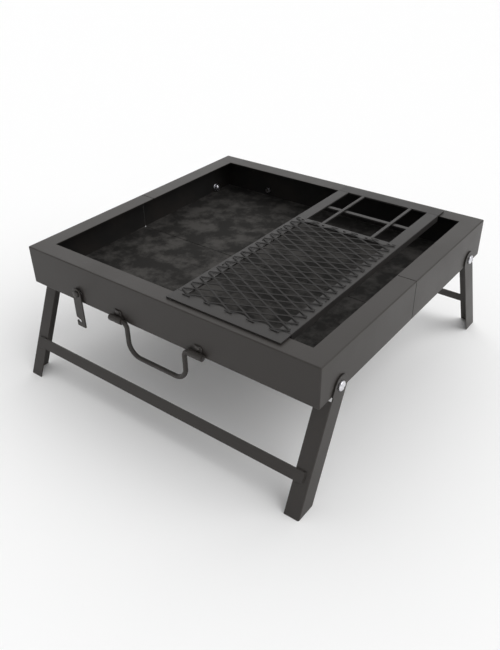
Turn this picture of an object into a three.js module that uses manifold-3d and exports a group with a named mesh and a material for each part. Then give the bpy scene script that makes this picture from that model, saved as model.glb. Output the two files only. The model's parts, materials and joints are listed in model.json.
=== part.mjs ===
// Folding fire pit with a cooking grate, modelled in millimetres, +Z up.
// The origin is on the ground under the middle of the pit. The handle side faces -Y.
// Two half trays meet at a seam along X and fold bottom to bottom on double-pin hinges;
// two leg frames splay out under them, and a lift-off grate rests on the front and rear rims.
import * as THREE from "three";
import { mergeVertices } from "three/addons/utils/BufferGeometryUtils.js";
import Module from "manifold-3d";

// ---- driving dimensions ----
const TRAY_WIDTH = 600;
const TRAY_DEPTH = 557;
const RIM_HEIGHT = 247;
const WALL_HEIGHT = 71;
const SHEET = 2;
const RIM_WIDTH = 33.5;
const SEAM_GAP = 1.4;

const LEG_SPLAY = THREE.MathUtils.degToRad(23.6);
const PIVOT_INSET = 51;
const PIVOT_RISE = 12;
const LEG_SHEET = 2;
const LEG_SIDE_FLANGE = 33.7;
const LEG_CROSS_FLANGE = 26.3;
const LEG_STAND_OFF = 0.6;
const LEG_FOLD_GAP = 0.5;
const LEG_RELIEF = 4;
const CROSSBAR_DROP = 145;
const CROSSBAR_WIDTH = 19;
const CROSSBAR_THICKNESS = 3;
const CROSSBAR_INSET = 9.5;

const PIVOT_BOLT_RADIUS = 4;
const PIVOT_HEAD_RADIUS = 8;
const PIVOT_HEAD_HEIGHT = 4.6;
const SMALL_BOLT_RADIUS = 3;
const SMALL_HEAD_RADIUS = 6;
const SMALL_HEAD_HEIGHT = 3.8;
const NUT_CORNER_RATIO = 1.85;
const NUT_HEIGHT_RATIO = 0.8;
const THREAD_SHOWING = 1.5;
const WASHER_THICKNESS = 1.6;
const HEAD_SLOT_RATIO = 0.14;
// Each pair is a share of the head's radius and a share of its height.
const PAN_HEAD_OUTLINE = [[1, 0], [1, 0.4], [0.86, 0.78], [0.55, 1]];
const RIVET_HEAD_OUTLINE = [[1, 0], [0.8, 0.7], [0.4, 1]];
const WASHER_MARGIN = 0.5;
const SPACER_MARGIN = 1;

const HINGE_CENTRE_X = 190;
const HINGE_LENGTH = 60;
const HINGE_LEAF_DEPTH = 30;
const HINGE_LEAF_THICKNESS = 2.5;
const HINGE_PIN_RADIUS = 2.5;
const HINGE_BARREL_WALL = 1.8;
const HINGE_BARREL_DROP = 0.7;
const HINGE_BARREL_SPACE = 1.2;
const HINGE_PIN_HEAD_RATIO = 1.6;
const HINGE_PIN_HEAD_HEIGHT = 1.4;
const HINGE_LINK_THICKNESS = 2;

const HANDLE_ROD_RADIUS = 4;
const HANDLE_HALF_SPAN = 62;
const HANDLE_DROP = 59.5;
const HANDLE_AXIS_RISE = 4.5;
const HANDLE_GRIP_BEND = 24;
const HANDLE_EAR_BEND = 10;
const HANDLE_EAR_SHOWING = 1;
const SLEEVE_LENGTH = 27;
const SLEEVE_WALL = 1.5;
const SLEEVE_TAB_WIDTH = 18;
const SLEEVE_TAB_HEIGHT = 9;
const RIVET_RADIUS = 2.4;
const RIVET_HEAD_RADIUS = 4.4;
const RIVET_HEAD_HEIGHT = 1.8;

const LATCH_X = -181;
const LATCH_RISE = 18;
const LATCH_WIDTH = 20;
const LATCH_THICKNESS = 2.5;
const LATCH_LENGTH = 66;
const LATCH_REACH = 54.5;
const LATCH_SLOT_CLEARANCE = 0.7;
const LATCH_SLOT_DEPTH = 11;
const LATCH_SLOT_SPARE = 1;
const LATCH_LIP = 2.4;
const LATCH_NOSE_WIDTH = 3.4;
const LATCH_NOSE_HEIGHT = 1.4;
const LATCH_SPACER = 2;
const STUD_RADIUS = 2.8;
const STUD_COLLAR = 1.2;
const STUD_HEAD_RADIUS = 5;
const STUD_HEAD_HEIGHT = 2;
const STUD_PLAY = 1;

const GRATE_WIDTH = 212;
const GRATE_EDGE_INSET = 12.5;
const GRATE_RIM_GAP = 39.5;
const GRATE_FLAT = 3;
const GRATE_END_FLAT_WIDTH = 26;
const FLANGE_RIM_GAP = 5.3;
const GRATE_RAIL_WIDTH = 22;
const GRATE_FLANGE_DEPTH = 12;
const GRILL_LENGTH = 342;
const CROSS_FLAT_WIDTH = 14;
const KETTLE_BAR_OFFSET = 50;
const KETTLE_BAR_WIDTH = 6;
const KETTLE_CROSSBAR_WIDTH = 9;
const KETTLE_CROSSBAR_LAP = 8;
const MESH_OVERLAP = 16;
const MESH_THICKNESS = 2.4;
const MESH_STRAND = 2.6;
const MESH_LONG_WAY = 40;
const MESH_SHORT_WAY = 21;

const TOUCH_GAP = 0.3;
const RUNNING_CLEARANCE = 0.3;
const HOLE_CLEARANCE = 0.3;
const ROUND_SIDES = 24;
const SMALL_ROUND_SIDES = 16;
const BEND_STEPS = 6;

// ---- worked out from them ----
const HALF_WIDTH = TRAY_WIDTH / 2;
const HALF_DEPTH = TRAY_DEPTH / 2;
const TRAY_BOTTOM = RIM_HEIGHT - WALL_HEIGHT;
const PIVOT_HEIGHT = TRAY_BOTTOM + PIVOT_RISE;
const PIVOT_Y = HALF_DEPTH - PIVOT_INSET;
const LEG_FRONT_OFFSET = PIVOT_RISE + LEG_SHEET + LEG_FOLD_GAP;
const HINGE_BARREL_RADIUS = HINGE_PIN_RADIUS + RUNNING_CLEARANCE + HINGE_BARREL_WALL;
const HINGE_PIN_DROP = HINGE_BARREL_RADIUS + HINGE_BARREL_DROP;
const HINGE_PIN_SPACING = 2 * HINGE_BARREL_RADIUS + HINGE_BARREL_SPACE;
const HINGE_LINK_RADIUS = HINGE_PIN_DROP - TOUCH_GAP;
const FOLD_GAP = 2 * HINGE_PIN_DROP + HINGE_PIN_SPACING;
const STUD_RISE = LATCH_REACH - LATCH_RISE - FOLD_GAP;
const GRATE_HALF_LENGTH = HALF_DEPTH - GRATE_EDGE_INSET;
const RAIL_HALF_LENGTH = GRATE_HALF_LENGTH - GRATE_END_FLAT_WIDTH - TOUCH_GAP;
const FLANGE_HALF_LENGTH = HALF_DEPTH - RIM_WIDTH - FLANGE_RIM_GAP;
const GRATE_CENTRE_X = HALF_WIDTH - RIM_WIDTH - GRATE_RIM_GAP - GRATE_WIDTH / 2;
const GRATE_BASE = RIM_HEIGHT + TOUCH_GAP;
const SLEEVE_BORE = HANDLE_ROD_RADIUS + RUNNING_CLEARANCE;
const SLEEVE_RADIUS = SLEEVE_BORE + SLEEVE_WALL;
const HANDLE_AXIS_Y = -(HALF_DEPTH + TOUCH_GAP + SLEEVE_RADIUS);
const HANDLE_AXIS_Z = TRAY_BOTTOM + HANDLE_AXIS_RISE;
const SLEEVE_START = HANDLE_HALF_SPAN + HANDLE_EAR_BEND;
const SLEEVE_CENTRE_X = SLEEVE_START + SLEEVE_LENGTH / 2;
const RIVET_HEIGHT = HANDLE_AXIS_Z + SLEEVE_RADIUS + SLEEVE_TAB_HEIGHT / 2;
const PIN_HEIGHT = TRAY_BOTTOM - HINGE_PIN_DROP;
const PIN_Y = HINGE_PIN_SPACING / 2;
const LATCH_PIVOT_Z = TRAY_BOTTOM + LATCH_RISE;
const LATCH_BACK = -HALF_DEPTH - LATCH_SPACER - 2 * TOUCH_GAP;
const LATCH_SLOT = 2 * (STUD_RADIUS + LATCH_SLOT_CLEARANCE);
const STUD_X = LATCH_X - LATCH_WIDTH / 2 + LATCH_SLOT_DEPTH - LATCH_SLOT / 2 - LATCH_SLOT_SPARE;

// The rear half is the front half turned round, so the pit's left is on its own right.
const OWN_SIDE = { front: { left: -1, right: 1 }, rear: { left: 1, right: -1 } };

// ---- materials ----
const paint = new THREE.MeshStandardMaterial({ color: 0x45413f, roughness: 0.55, metalness: 0.2 });
const grateSteel = new THREE.MeshStandardMaterial({ color: 0x4a4746, roughness: 0.6, metalness: 0.3 });
const darkBolt = new THREE.MeshStandardMaterial({ color: 0x3a3634, roughness: 0.45, metalness: 0.5 });
const zinc = new THREE.MeshStandardMaterial({ color: 0xd0d0d2, roughness: 0.3, metalness: 0.9 });

// ---- solids ----
const wasm = await Module();
wasm.setup();

function solid(geometry) {
  const bare = geometry.clone();
  bare.deleteAttribute("normal");
  bare.deleteAttribute("uv");
  const merged = mergeVertices(bare, 1e-5);
  return new wasm.Manifold(new wasm.Mesh({
    numProp: 3,
    vertProperties: Float32Array.from(merged.attributes.position.array),
    triVerts: Uint32Array.from(merged.index.array),
  }));
}

function geometryOf(manifold) {
  const mesh = manifold.getMesh();
  const geometry = new THREE.BufferGeometry();
  geometry.setAttribute("position", new THREE.BufferAttribute(Float32Array.from(mesh.vertProperties), 3));
  geometry.setIndex(new THREE.BufferAttribute(Uint32Array.from(mesh.triVerts), 1));
  geometry.computeVertexNormals();
  return geometry;
}

function box(low, high) {
  const size = high.map((value, axis) => value - low[axis]);
  const centre = high.map((value, axis) => (value + low[axis]) / 2);
  return solid(new THREE.BoxGeometry(...size).translate(...centre));
}

// A round bar along one axis, from start to end, centred on the other two coordinates.
function roundBar(axis, radius, start, end, centre = [0, 0, 0], sides = ROUND_SIDES) {
  const bar = new THREE.CylinderGeometry(radius, radius, end - start, sides);
  if (axis === "x") bar.rotateZ(-Math.PI / 2);
  if (axis === "z") bar.rotateX(Math.PI / 2);
  const middle = new THREE.Vector3(...centre);
  middle[axis] = (start + end) / 2;
  return solid(bar.translate(middle.x, middle.y, middle.z));
}

// A turned piece: the profile lists [radius, distance along the axis], and the axis becomes +X.
function turned(profile, sides = ROUND_SIDES) {
  const points = profile.map(([radius, along]) => new THREE.Vector2(radius, along));
  return solid(new THREE.LatheGeometry(points, sides).rotateZ(-Math.PI / 2));
}

// An outline drawn in (Y, Z), thickened along X from one x to another.
function plateAcrossX(shape, fromX, toX, curveSegments = 12) {
  const plate = new THREE.ExtrudeGeometry(shape, { depth: toX - fromX, bevelEnabled: false, curveSegments });
  const intoPlace = new THREE.Matrix4().makeBasis(
    new THREE.Vector3(0, 1, 0), new THREE.Vector3(0, 0, 1), new THREE.Vector3(1, 0, 0));
  return solid(plate.applyMatrix4(intoPlace).translate(fromX, 0, 0));
}

// An outline drawn in (X, Z), thickened along Y from the plane y towards -Y.
function plateAcrossY(shape, y, thickness, curveSegments = 12) {
  const plate = new THREE.ExtrudeGeometry(shape, { depth: thickness, bevelEnabled: false, curveSegments });
  return solid(plate.rotateX(Math.PI / 2).translate(0, y, 0));
}

function polygon(points) {
  return new THREE.Shape(points.map(([a, b]) => new THREE.Vector2(a, b)));
}

function place(parent, name, manifold, material) {
  const mesh = new THREE.Mesh(geometryOf(manifold), material);
  mesh.name = name;
  parent.add(mesh);
  return mesh;
}

// ---- fasteners, each lying along +X with the underside of its head at x = 0 ----
function headProfile(outline, radius, height) {
  return outline.map(([radiusShare, heightShare]) => [radius * radiusShare, height * heightShare]);
}

function bolt(shankRadius, headRadius, headHeight, length) {
  return turned([[0, -length], [shankRadius, -length], [shankRadius, 0],
    ...headProfile(PAN_HEAD_OUTLINE, headRadius, headHeight), [0, headHeight]]);
}

function headSlot(headRadius, headHeight) {
  const halfWidth = headRadius * HEAD_SLOT_RATIO;
  return box([headHeight / 2, -halfWidth, -headRadius], [headHeight + 1, halfWidth, headRadius]);
}

function hexNut(boltRadius) {
  const height = 2 * boltRadius * NUT_HEIGHT_RATIO;
  const corner = boltRadius * NUT_CORNER_RATIO;
  const blank = solid(new THREE.CylinderGeometry(corner, corner, height, 6).rotateZ(-Math.PI / 2));
  return blank.subtract(roundBar("x", boltRadius + TOUCH_GAP, -height, height, [0, 0, 0], SMALL_ROUND_SIDES));
}

function washer(boltRadius, outerRadius, thickness) {
  const blank = roundBar("x", outerRadius, 0, thickness);
  const hole = roundBar("x", boltRadius + TOUCH_GAP, -1, thickness + 1, [0, 0, 0], SMALL_ROUND_SIDES);
  return blank.subtract(hole);
}

function rivet(gripLength) {
  return turned([[0, -gripLength - RIVET_HEAD_HEIGHT], [RIVET_HEAD_RADIUS, -gripLength - RIVET_HEAD_HEIGHT],
    [RIVET_HEAD_RADIUS, -gripLength], [RIVET_RADIUS, -gripLength], [RIVET_RADIUS, 0],
    ...headProfile(RIVET_HEAD_OUTLINE, RIVET_HEAD_RADIUS, RIVET_HEAD_HEIGHT),
    [0, RIVET_HEAD_HEIGHT]], SMALL_ROUND_SIDES);
}

// ---- half trays: built as the front half (y < 0); the rear half is turned round by half a turn ----
function holeThroughWall(x, rise, radius) {
  return roundBar("y", radius, -HALF_DEPTH - 5, -HALF_DEPTH + 2 * SHEET + 5,
    [x, 0, TRAY_BOTTOM + rise], SMALL_ROUND_SIDES);
}

function halfTray(wallHoles) {
  const seam = -SEAM_GAP / 2;
  let tray = box([-HALF_WIDTH, -HALF_DEPTH, TRAY_BOTTOM], [HALF_WIDTH, seam, RIM_HEIGHT]);
  const inside = box([-HALF_WIDTH + SHEET, -HALF_DEPTH + SHEET, TRAY_BOTTOM + SHEET],
    [HALF_WIDTH - SHEET, 1, RIM_HEIGHT - SHEET]);
  const mouth = box([-HALF_WIDTH + RIM_WIDTH, -HALF_DEPTH + RIM_WIDTH, RIM_HEIGHT - 2 * SHEET],
    [HALF_WIDTH - RIM_WIDTH, 1, RIM_HEIGHT + 1]);
  tray = tray.subtract(inside).subtract(mouth);
  const pivotHole = roundBar("x", PIVOT_BOLT_RADIUS + HOLE_CLEARANCE, -HALF_WIDTH - 1, HALF_WIDTH + 1,
    [0, -PIVOT_Y, PIVOT_HEIGHT]);
  return wallHoles.reduce((left, hole) => left.subtract(hole), tray.subtract(pivotHole));
}

// Pivot bolts, washers and nuts for the two legs of one half.
function addPivotFasteners(half, label) {
  const headSeat = HALF_WIDTH + LEG_STAND_OFF + LEG_SHEET + RUNNING_CLEARANCE;
  const washerSeat = HALF_WIDTH - SHEET - TOUCH_GAP;
  const nutHeight = 2 * PIVOT_BOLT_RADIUS * NUT_HEIGHT_RATIO;
  const nutSeat = washerSeat - WASHER_THICKNESS - TOUCH_GAP;
  const shank = headSeat - (nutSeat - nutHeight - THREAD_SHOWING);
  for (const side of ["left", "right"]) {
    const turn = OWN_SIDE[label][side] > 0 ? 0 : Math.PI;
    const stack = new THREE.Group();
    stack.position.set(0, -PIVOT_Y, PIVOT_HEIGHT);
    stack.rotation.z = turn;
    half.add(stack);
    const pivotBolt = bolt(PIVOT_BOLT_RADIUS, PIVOT_HEAD_RADIUS, PIVOT_HEAD_HEIGHT, shank)
      .subtract(headSlot(PIVOT_HEAD_RADIUS, PIVOT_HEAD_HEIGHT));
    place(stack, `${label}_${side}_pivot_bolt`, pivotBolt, zinc).position.x = headSeat;
    const flat = washer(PIVOT_BOLT_RADIUS, PIVOT_HEAD_RADIUS + WASHER_MARGIN, WASHER_THICKNESS);
    place(stack, `${label}_${side}_pivot_washer`, flat, zinc).position.x = washerSeat - WASHER_THICKNESS;
    place(stack, `${label}_${side}_pivot_nut`, hexNut(PIVOT_BOLT_RADIUS), zinc)
      .position.x = nutSeat - nutHeight / 2;
  }
}

// ---- double-pin hinges under the floor ----
function hingeLeaf() {
  const leafTop = TRAY_BOTTOM - TOUCH_GAP;
  const leaf = box([-HINGE_LENGTH / 2, -PIN_Y - HINGE_LEAF_DEPTH, leafTop - HINGE_LEAF_THICKNESS],
    [HINGE_LENGTH / 2, -PIN_Y, leafTop]);
  const halfLength = HINGE_LENGTH / 2;
  const barrel = roundBar("x", HINGE_BARREL_RADIUS, -halfLength, halfLength, [0, -PIN_Y, PIN_HEIGHT]);
  const bore = roundBar("x", HINGE_PIN_RADIUS + RUNNING_CLEARANCE, -halfLength - 1, halfLength + 1,
    [0, -PIN_Y, PIN_HEIGHT], SMALL_ROUND_SIDES);
  return leaf.add(barrel).subtract(bore);
}

function hingeLink() {
  const half = HINGE_PIN_SPACING / 2;
  const outline = new THREE.Shape();
  outline.absarc(half, PIN_HEIGHT, HINGE_LINK_RADIUS, -Math.PI / 2, Math.PI / 2, false);
  outline.absarc(-half, PIN_HEIGHT, HINGE_LINK_RADIUS, Math.PI / 2, 3 * Math.PI / 2, false);
  const thick = HINGE_LINK_THICKNESS / 2;
  let link = plateAcrossX(outline, -thick, thick, SMALL_ROUND_SIDES / 2);
  for (const y of [-half, half]) {
    link = link.subtract(roundBar("x", HINGE_PIN_RADIUS + TOUCH_GAP, -thick - 1, thick + 1,
      [0, y, PIN_HEIGHT], SMALL_ROUND_SIDES));
  }
  return link;
}

function hingePin() {
  const reach = HINGE_LENGTH / 2 + 2 * TOUCH_GAP + HINGE_LINK_THICKNESS;
  const headRadius = HINGE_PIN_RADIUS * HINGE_PIN_HEAD_RATIO;
  const end = reach + HINGE_PIN_HEAD_HEIGHT;
  return turned([[0, -end], [headRadius, -end], [headRadius, -reach], [HINGE_PIN_RADIUS, -reach],
    [HINGE_PIN_RADIUS, reach], [headRadius, reach], [headRadius, end], [0, end]], SMALL_ROUND_SIDES);
}

function addHingeLinks(parent) {
  const linkMiddle = HINGE_LENGTH / 2 + TOUCH_GAP + HINGE_LINK_THICKNESS / 2;
  for (const [side, outward] of [["left", -1], ["right", 1]]) {
    const centre = outward * HINGE_CENTRE_X;
    for (const [row, y] of [["front", -PIN_Y], ["rear", PIN_Y]]) {
      place(parent, `${side}_hinge_${row}_pin`, hingePin(), zinc).position.set(centre, y, PIN_HEIGHT);
    }
    const outerLink = place(parent, `${side}_hinge_outer_link`, hingeLink(), darkBolt);
    outerLink.position.x = centre + outward * linkMiddle;
    const innerLink = place(parent, `${side}_hinge_inner_link`, hingeLink(), darkBolt);
    innerLink.position.x = centre - outward * linkMiddle;
  }
}

// ---- leg frames: the pivot is the origin, the leg hangs along -Z, and -Y is its outer face ----
function legEnd(outward) {
  return -(PIVOT_HEIGHT + outward * Math.sin(LEG_SPLAY)) / Math.cos(LEG_SPLAY);
}

function legTop(outward, gap) {
  return -(PIVOT_RISE + gap + outward * Math.sin(LEG_SPLAY)) / Math.cos(LEG_SPLAY);
}

function leg(ownSide) {
  const outerX = HALF_WIDTH + LEG_STAND_OFF + LEG_SHEET;
  const innerX = outerX - LEG_SHEET;
  const front = -LEG_FRONT_OFFSET;
  const back = front + LEG_SIDE_FLANGE;
  const roundRadius = LEG_SIDE_FLANGE / 2;
  const sidePlate = new THREE.Shape();
  sidePlate.moveTo(front, legEnd(-front));
  sidePlate.lineTo(back, legEnd(-back));
  sidePlate.lineTo(back, 0);
  sidePlate.absarc(front + roundRadius, 0, roundRadius, 0, Math.PI, false);
  const inner = front + LEG_SHEET;
  const crossPlate = polygon([[front, legEnd(-front)], [inner, legEnd(-inner)],
    [inner, legTop(-inner, RUNNING_CLEARANCE)], [front, legTop(-front, RUNNING_CLEARANCE)]]);
  let blank = plateAcrossX(sidePlate, innerX, outerX);
  blank = blank.add(plateAcrossX(crossPlate, outerX - LEG_CROSS_FLANGE, outerX - LEG_SHEET / 2));
  const reliefTop = legTop(-front, 0) + LEG_RELIEF;
  const relief = box([innerX - LEG_RELIEF, front - 1, reliefTop - 2 * LEG_RELIEF],
    [innerX, inner + 1, reliefTop]);
  blank = blank.subtract(relief);
  blank = blank.subtract(roundBar("x", PIVOT_BOLT_RADIUS + RUNNING_CLEARANCE, innerX - 1, outerX + 1));
  return ownSide > 0 ? blank : blank.mirror([1, 0, 0]);
}

function crossbar() {
  const half = HALF_WIDTH + LEG_STAND_OFF + LEG_SHEET - CROSSBAR_INSET;
  const face = -LEG_FRONT_OFFSET - TOUCH_GAP;
  return box([-half, face - CROSSBAR_THICKNESS, -CROSSBAR_DROP - CROSSBAR_WIDTH / 2],
    [half, face, -CROSSBAR_DROP + CROSSBAR_WIDTH / 2]);
}

function addLegFrame(parent, label) {
  const frame = new THREE.Group();
  frame.position.set(0, -PIVOT_Y, PIVOT_HEIGHT);
  frame.rotation.x = -LEG_SPLAY;
  parent.add(frame);
  for (const side of ["left", "right"]) {
    place(frame, `${label}_${side}_leg`, leg(OWN_SIDE[label][side]), paint);
  }
  place(frame, `${label}_leg_crossbar`, crossbar(), paint);
}

// ---- carrying handle ----
// The bail in its own XZ plane: the right ear, its bend, the drop and half the grip, then the mirror image.
function bailPoints() {
  const earEnd = SLEEVE_START + SLEEVE_LENGTH + HANDLE_EAR_SHOWING;
  const bendStart = HANDLE_GRIP_BEND - HANDLE_DROP;
  const gripEnd = HANDLE_HALF_SPAN - HANDLE_GRIP_BEND;
  const quarter = Math.PI / 2;
  const half = [
    [earEnd, 0], [SLEEVE_START, 0],
    ...bend([SLEEVE_START, -HANDLE_EAR_BEND], HANDLE_EAR_BEND, quarter, 2 * quarter),
    [HANDLE_HALF_SPAN, -HANDLE_EAR_BEND], [HANDLE_HALF_SPAN, bendStart],
    ...bend([gripEnd, bendStart], HANDLE_GRIP_BEND, 0, -quarter),
    [gripEnd, -HANDLE_DROP],
  ];
  const mirrored = half.map(([x, z]) => [-x, z]).reverse();
  return [...half, ...mirrored];
}

// Points between the two ends of an arc.
function bend([x, z], radius, from, to) {
  return Array.from({ length: BEND_STEPS - 1 }, (_, step) => {
    const angle = from + (to - from) * (step + 1) / BEND_STEPS;
    return [x + radius * Math.cos(angle), z + radius * Math.sin(angle)];
  });
}

// A bent round rod: one ring of vertices at every point of the path, capped at both ends.
function bentRod(points, radius, sides) {
  const positions = [];
  const index = [];
  points.forEach(([x, z], step) => {
    const [beforeX, beforeZ] = points[Math.max(step - 1, 0)];
    const [afterX, afterZ] = points[Math.min(step + 1, points.length - 1)];
    const along = new THREE.Vector3(afterX - beforeX, 0, afterZ - beforeZ).normalize();
    const across = new THREE.Vector3(0, 1, 0);
    const inPlane = new THREE.Vector3().crossVectors(along, across);
    for (let side = 0; side < sides; side += 1) {
      const angle = 2 * Math.PI * side / sides;
      const offset = inPlane.clone().multiplyScalar(radius * Math.cos(angle))
        .addScaledVector(across, radius * Math.sin(angle));
      positions.push(x + offset.x, offset.y, z + offset.z);
    }
  });
  const rings = points.length;
  for (let ring = 0; ring < rings - 1; ring += 1) {
    for (let side = 0; side < sides; side += 1) {
      const a = ring * sides + side;
      const b = ring * sides + (side + 1) % sides;
      index.push(a, a + sides, b, b, a + sides, b + sides);
    }
  }
  for (let side = 1; side < sides - 1; side += 1) {
    index.push(0, side, side + 1);
    const last = (rings - 1) * sides;
    index.push(last, last + side + 1, last + side);
  }
  const rod = new THREE.BufferGeometry();
  rod.setAttribute("position", new THREE.BufferAttribute(Float32Array.from(positions), 3));
  rod.setIndex(index);
  return rod;
}

function handleBracket() {
  const half = SLEEVE_LENGTH / 2;
  const wallFace = -HALF_DEPTH - TOUCH_GAP;
  const sleeve = roundBar("x", SLEEVE_RADIUS, -half, half, [0, HANDLE_AXIS_Y, HANDLE_AXIS_Z]);
  const tab = box([-SLEEVE_TAB_WIDTH / 2, wallFace - SLEEVE_WALL, HANDLE_AXIS_Z],
    [SLEEVE_TAB_WIDTH / 2, wallFace, HANDLE_AXIS_Z + SLEEVE_RADIUS + SLEEVE_TAB_HEIGHT]);
  const bore = roundBar("x", SLEEVE_BORE, -half - 1, half + 1, [0, HANDLE_AXIS_Y, HANDLE_AXIS_Z]);
  const rivetHole = roundBar("y", RIVET_RADIUS + TOUCH_GAP, wallFace - SLEEVE_WALL - 5, wallFace + 5,
    [0, 0, RIVET_HEIGHT], SMALL_ROUND_SIDES);
  return sleeve.add(tab).subtract(bore).subtract(rivetHole);
}

function addHandle(frontHalf) {
  const bail = solid(bentRod(bailPoints(), HANDLE_ROD_RADIUS, SMALL_ROUND_SIDES));
  place(frontHalf, "handle_bail", bail, paint).position.set(0, HANDLE_AXIS_Y, HANDLE_AXIS_Z);
  const grip = SHEET + SLEEVE_WALL + 3 * TOUCH_GAP;
  for (const [side, x] of [["left", -SLEEVE_CENTRE_X], ["right", SLEEVE_CENTRE_X]]) {
    place(frontHalf, `handle_${side}_bracket`, handleBracket(), paint).position.x = x;
    const pin = place(frontHalf, `handle_${side}_rivet`, rivet(grip), darkBolt);
    pin.rotation.z = -Math.PI / 2;
    pin.position.set(x, -HALF_DEPTH - 2 * TOUCH_GAP - SLEEVE_WALL, RIVET_HEIGHT);
  }
}

// ---- latch ----
function latchHook() {
  const half = LATCH_WIDTH / 2;
  const slotTop = -LATCH_REACH + LATCH_SLOT / 2;
  const slotBottom = -LATCH_REACH - LATCH_SLOT / 2;
  const slotEnd = -half + LATCH_SLOT_DEPTH;
  const outline = new THREE.Shape();
  outline.moveTo(-half, 0);
  outline.lineTo(-half, slotTop + LATCH_LIP);
  outline.lineTo(slotEnd - LATCH_SLOT / 2, slotTop);
  outline.absarc(slotEnd - LATCH_SLOT / 2, -LATCH_REACH, LATCH_SLOT / 2, Math.PI / 2, -Math.PI / 2, true);
  outline.lineTo(-half + LATCH_NOSE_WIDTH, slotBottom);
  outline.lineTo(-half + LATCH_LIP, slotBottom + LATCH_LIP);
  outline.lineTo(-half, slotBottom + LATCH_NOSE_HEIGHT);
  outline.lineTo(-half, -LATCH_LENGTH + LATCH_LIP);
  outline.lineTo(-half + LATCH_LIP, -LATCH_LENGTH);
  outline.lineTo(half - LATCH_LIP, -LATCH_LENGTH);
  outline.lineTo(half, -LATCH_LENGTH + LATCH_LIP);
  outline.lineTo(half, 0);
  outline.absarc(0, 0, half, 0, Math.PI, false);
  const hole = roundBar("y", SMALL_BOLT_RADIUS + RUNNING_CLEARANCE, -50, 50, [0, 0, 0], SMALL_ROUND_SIDES);
  return plateAcrossY(outline, 0, LATCH_THICKNESS).subtract(hole);
}

function addLatch(frontHalf) {
  place(frontHalf, "latch_hook", latchHook(), paint).position.set(LATCH_X, LATCH_BACK, LATCH_PIVOT_Z);
  const headSeat = LATCH_THICKNESS + RUNNING_CLEARANCE - LATCH_BACK - HALF_DEPTH;
  addWallBolt(frontHalf, "latch_pivot", LATCH_X, LATCH_PIVOT_Z, headSeat,
    bolt(SMALL_BOLT_RADIUS, SMALL_HEAD_RADIUS, SMALL_HEAD_HEIGHT, headSeat + boltTail()));
  const spacer = place(frontHalf, "latch_spacer",
    washer(SMALL_BOLT_RADIUS, SMALL_HEAD_RADIUS + SPACER_MARGIN, LATCH_SPACER), zinc);
  spacer.rotation.z = -Math.PI / 2;
  spacer.position.set(LATCH_X, -HALF_DEPTH - TOUCH_GAP, LATCH_PIVOT_Z);
}

function boltTail() {
  return SHEET + TOUCH_GAP + 2 * SMALL_BOLT_RADIUS * NUT_HEIGHT_RATIO + THREAD_SHOWING;
}

// A bolt or stud through the end wall, its seat a given distance outside, with its nut inside.
function addWallBolt(half, label, x, z, seat, fastener) {
  const stack = new THREE.Group();
  stack.position.set(x, -HALF_DEPTH, z);
  stack.rotation.z = -Math.PI / 2;
  half.add(stack);
  place(stack, `${label}_bolt`, fastener, darkBolt).position.x = seat;
  const nutHeight = 2 * SMALL_BOLT_RADIUS * NUT_HEIGHT_RATIO;
  place(stack, `${label}_nut`, hexNut(SMALL_BOLT_RADIUS), zinc)
    .position.x = -SHEET - TOUCH_GAP - nutHeight / 2;
}

// The stud has a collar seated on the wall, a neck for the hook and a head that keeps the hook on.
function addCatchStud(rearHalf) {
  const neckEnd = LATCH_SPACER + 3 * TOUCH_GAP + LATCH_THICKNESS + STUD_PLAY;
  const tail = boltTail();
  const stud = turned([[0, -tail], [STUD_RADIUS, -tail], [STUD_RADIUS, TOUCH_GAP],
    [STUD_HEAD_RADIUS, TOUCH_GAP], [STUD_HEAD_RADIUS, STUD_COLLAR], [STUD_RADIUS, STUD_COLLAR],
    [STUD_RADIUS, neckEnd], [STUD_HEAD_RADIUS, neckEnd], [STUD_HEAD_RADIUS, neckEnd + STUD_HEAD_HEIGHT],
    [0, neckEnd + STUD_HEAD_HEIGHT]]);
  addWallBolt(rearHalf, "catch_stud", -STUD_X, TRAY_BOTTOM + STUD_RISE, 0, stud);
}

// ---- cooking grate, built about its own middle and set down to one side of the pit ----
function grateFlat(lowX, highX, lowY, highY) {
  return box([lowX, lowY, 0], [highX, highY, GRATE_FLAT]);
}

function grateRail(side) {
  const outer = GRATE_WIDTH / 2;
  const inner = outer - GRATE_RAIL_WIDTH;
  const top = grateFlat(inner, outer, -RAIL_HALF_LENGTH, RAIL_HALF_LENGTH);
  const flange = box([outer - GRATE_FLAT, -FLANGE_HALF_LENGTH, GRATE_FLAT - GRATE_FLANGE_DEPTH],
    [outer, FLANGE_HALF_LENGTH, GRATE_FLAT / 2]);
  const rail = top.add(flange);
  return side === "right" ? rail : rail.mirror([1, 0, 0]);
}

// Expanded metal: two families of crossing strands, trimmed to the panel.
function grateMesh(width, length) {
  const slope = Math.atan2(MESH_SHORT_WAY, MESH_LONG_WAY);
  const reach = Math.ceil((width / MESH_LONG_WAY + length / MESH_SHORT_WAY) / 2) + 1;
  const strandLength = (width + length) * 2;
  const strands = [];
  for (const direction of [-1, 1]) {
    for (let step = -reach; step <= reach; step += 1) {
      const strand = new THREE.BoxGeometry(strandLength, MESH_STRAND, MESH_THICKNESS)
        .rotateZ(direction * slope).translate(0, step * MESH_SHORT_WAY, MESH_THICKNESS / 2);
      strands.push(solid(strand));
    }
  }
  const lattice = wasm.Manifold.union(strands);
  return lattice.intersect(box([-width / 2, -length / 2, -1], [width / 2, length / 2, MESH_THICKNESS + 1]));
}

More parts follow.
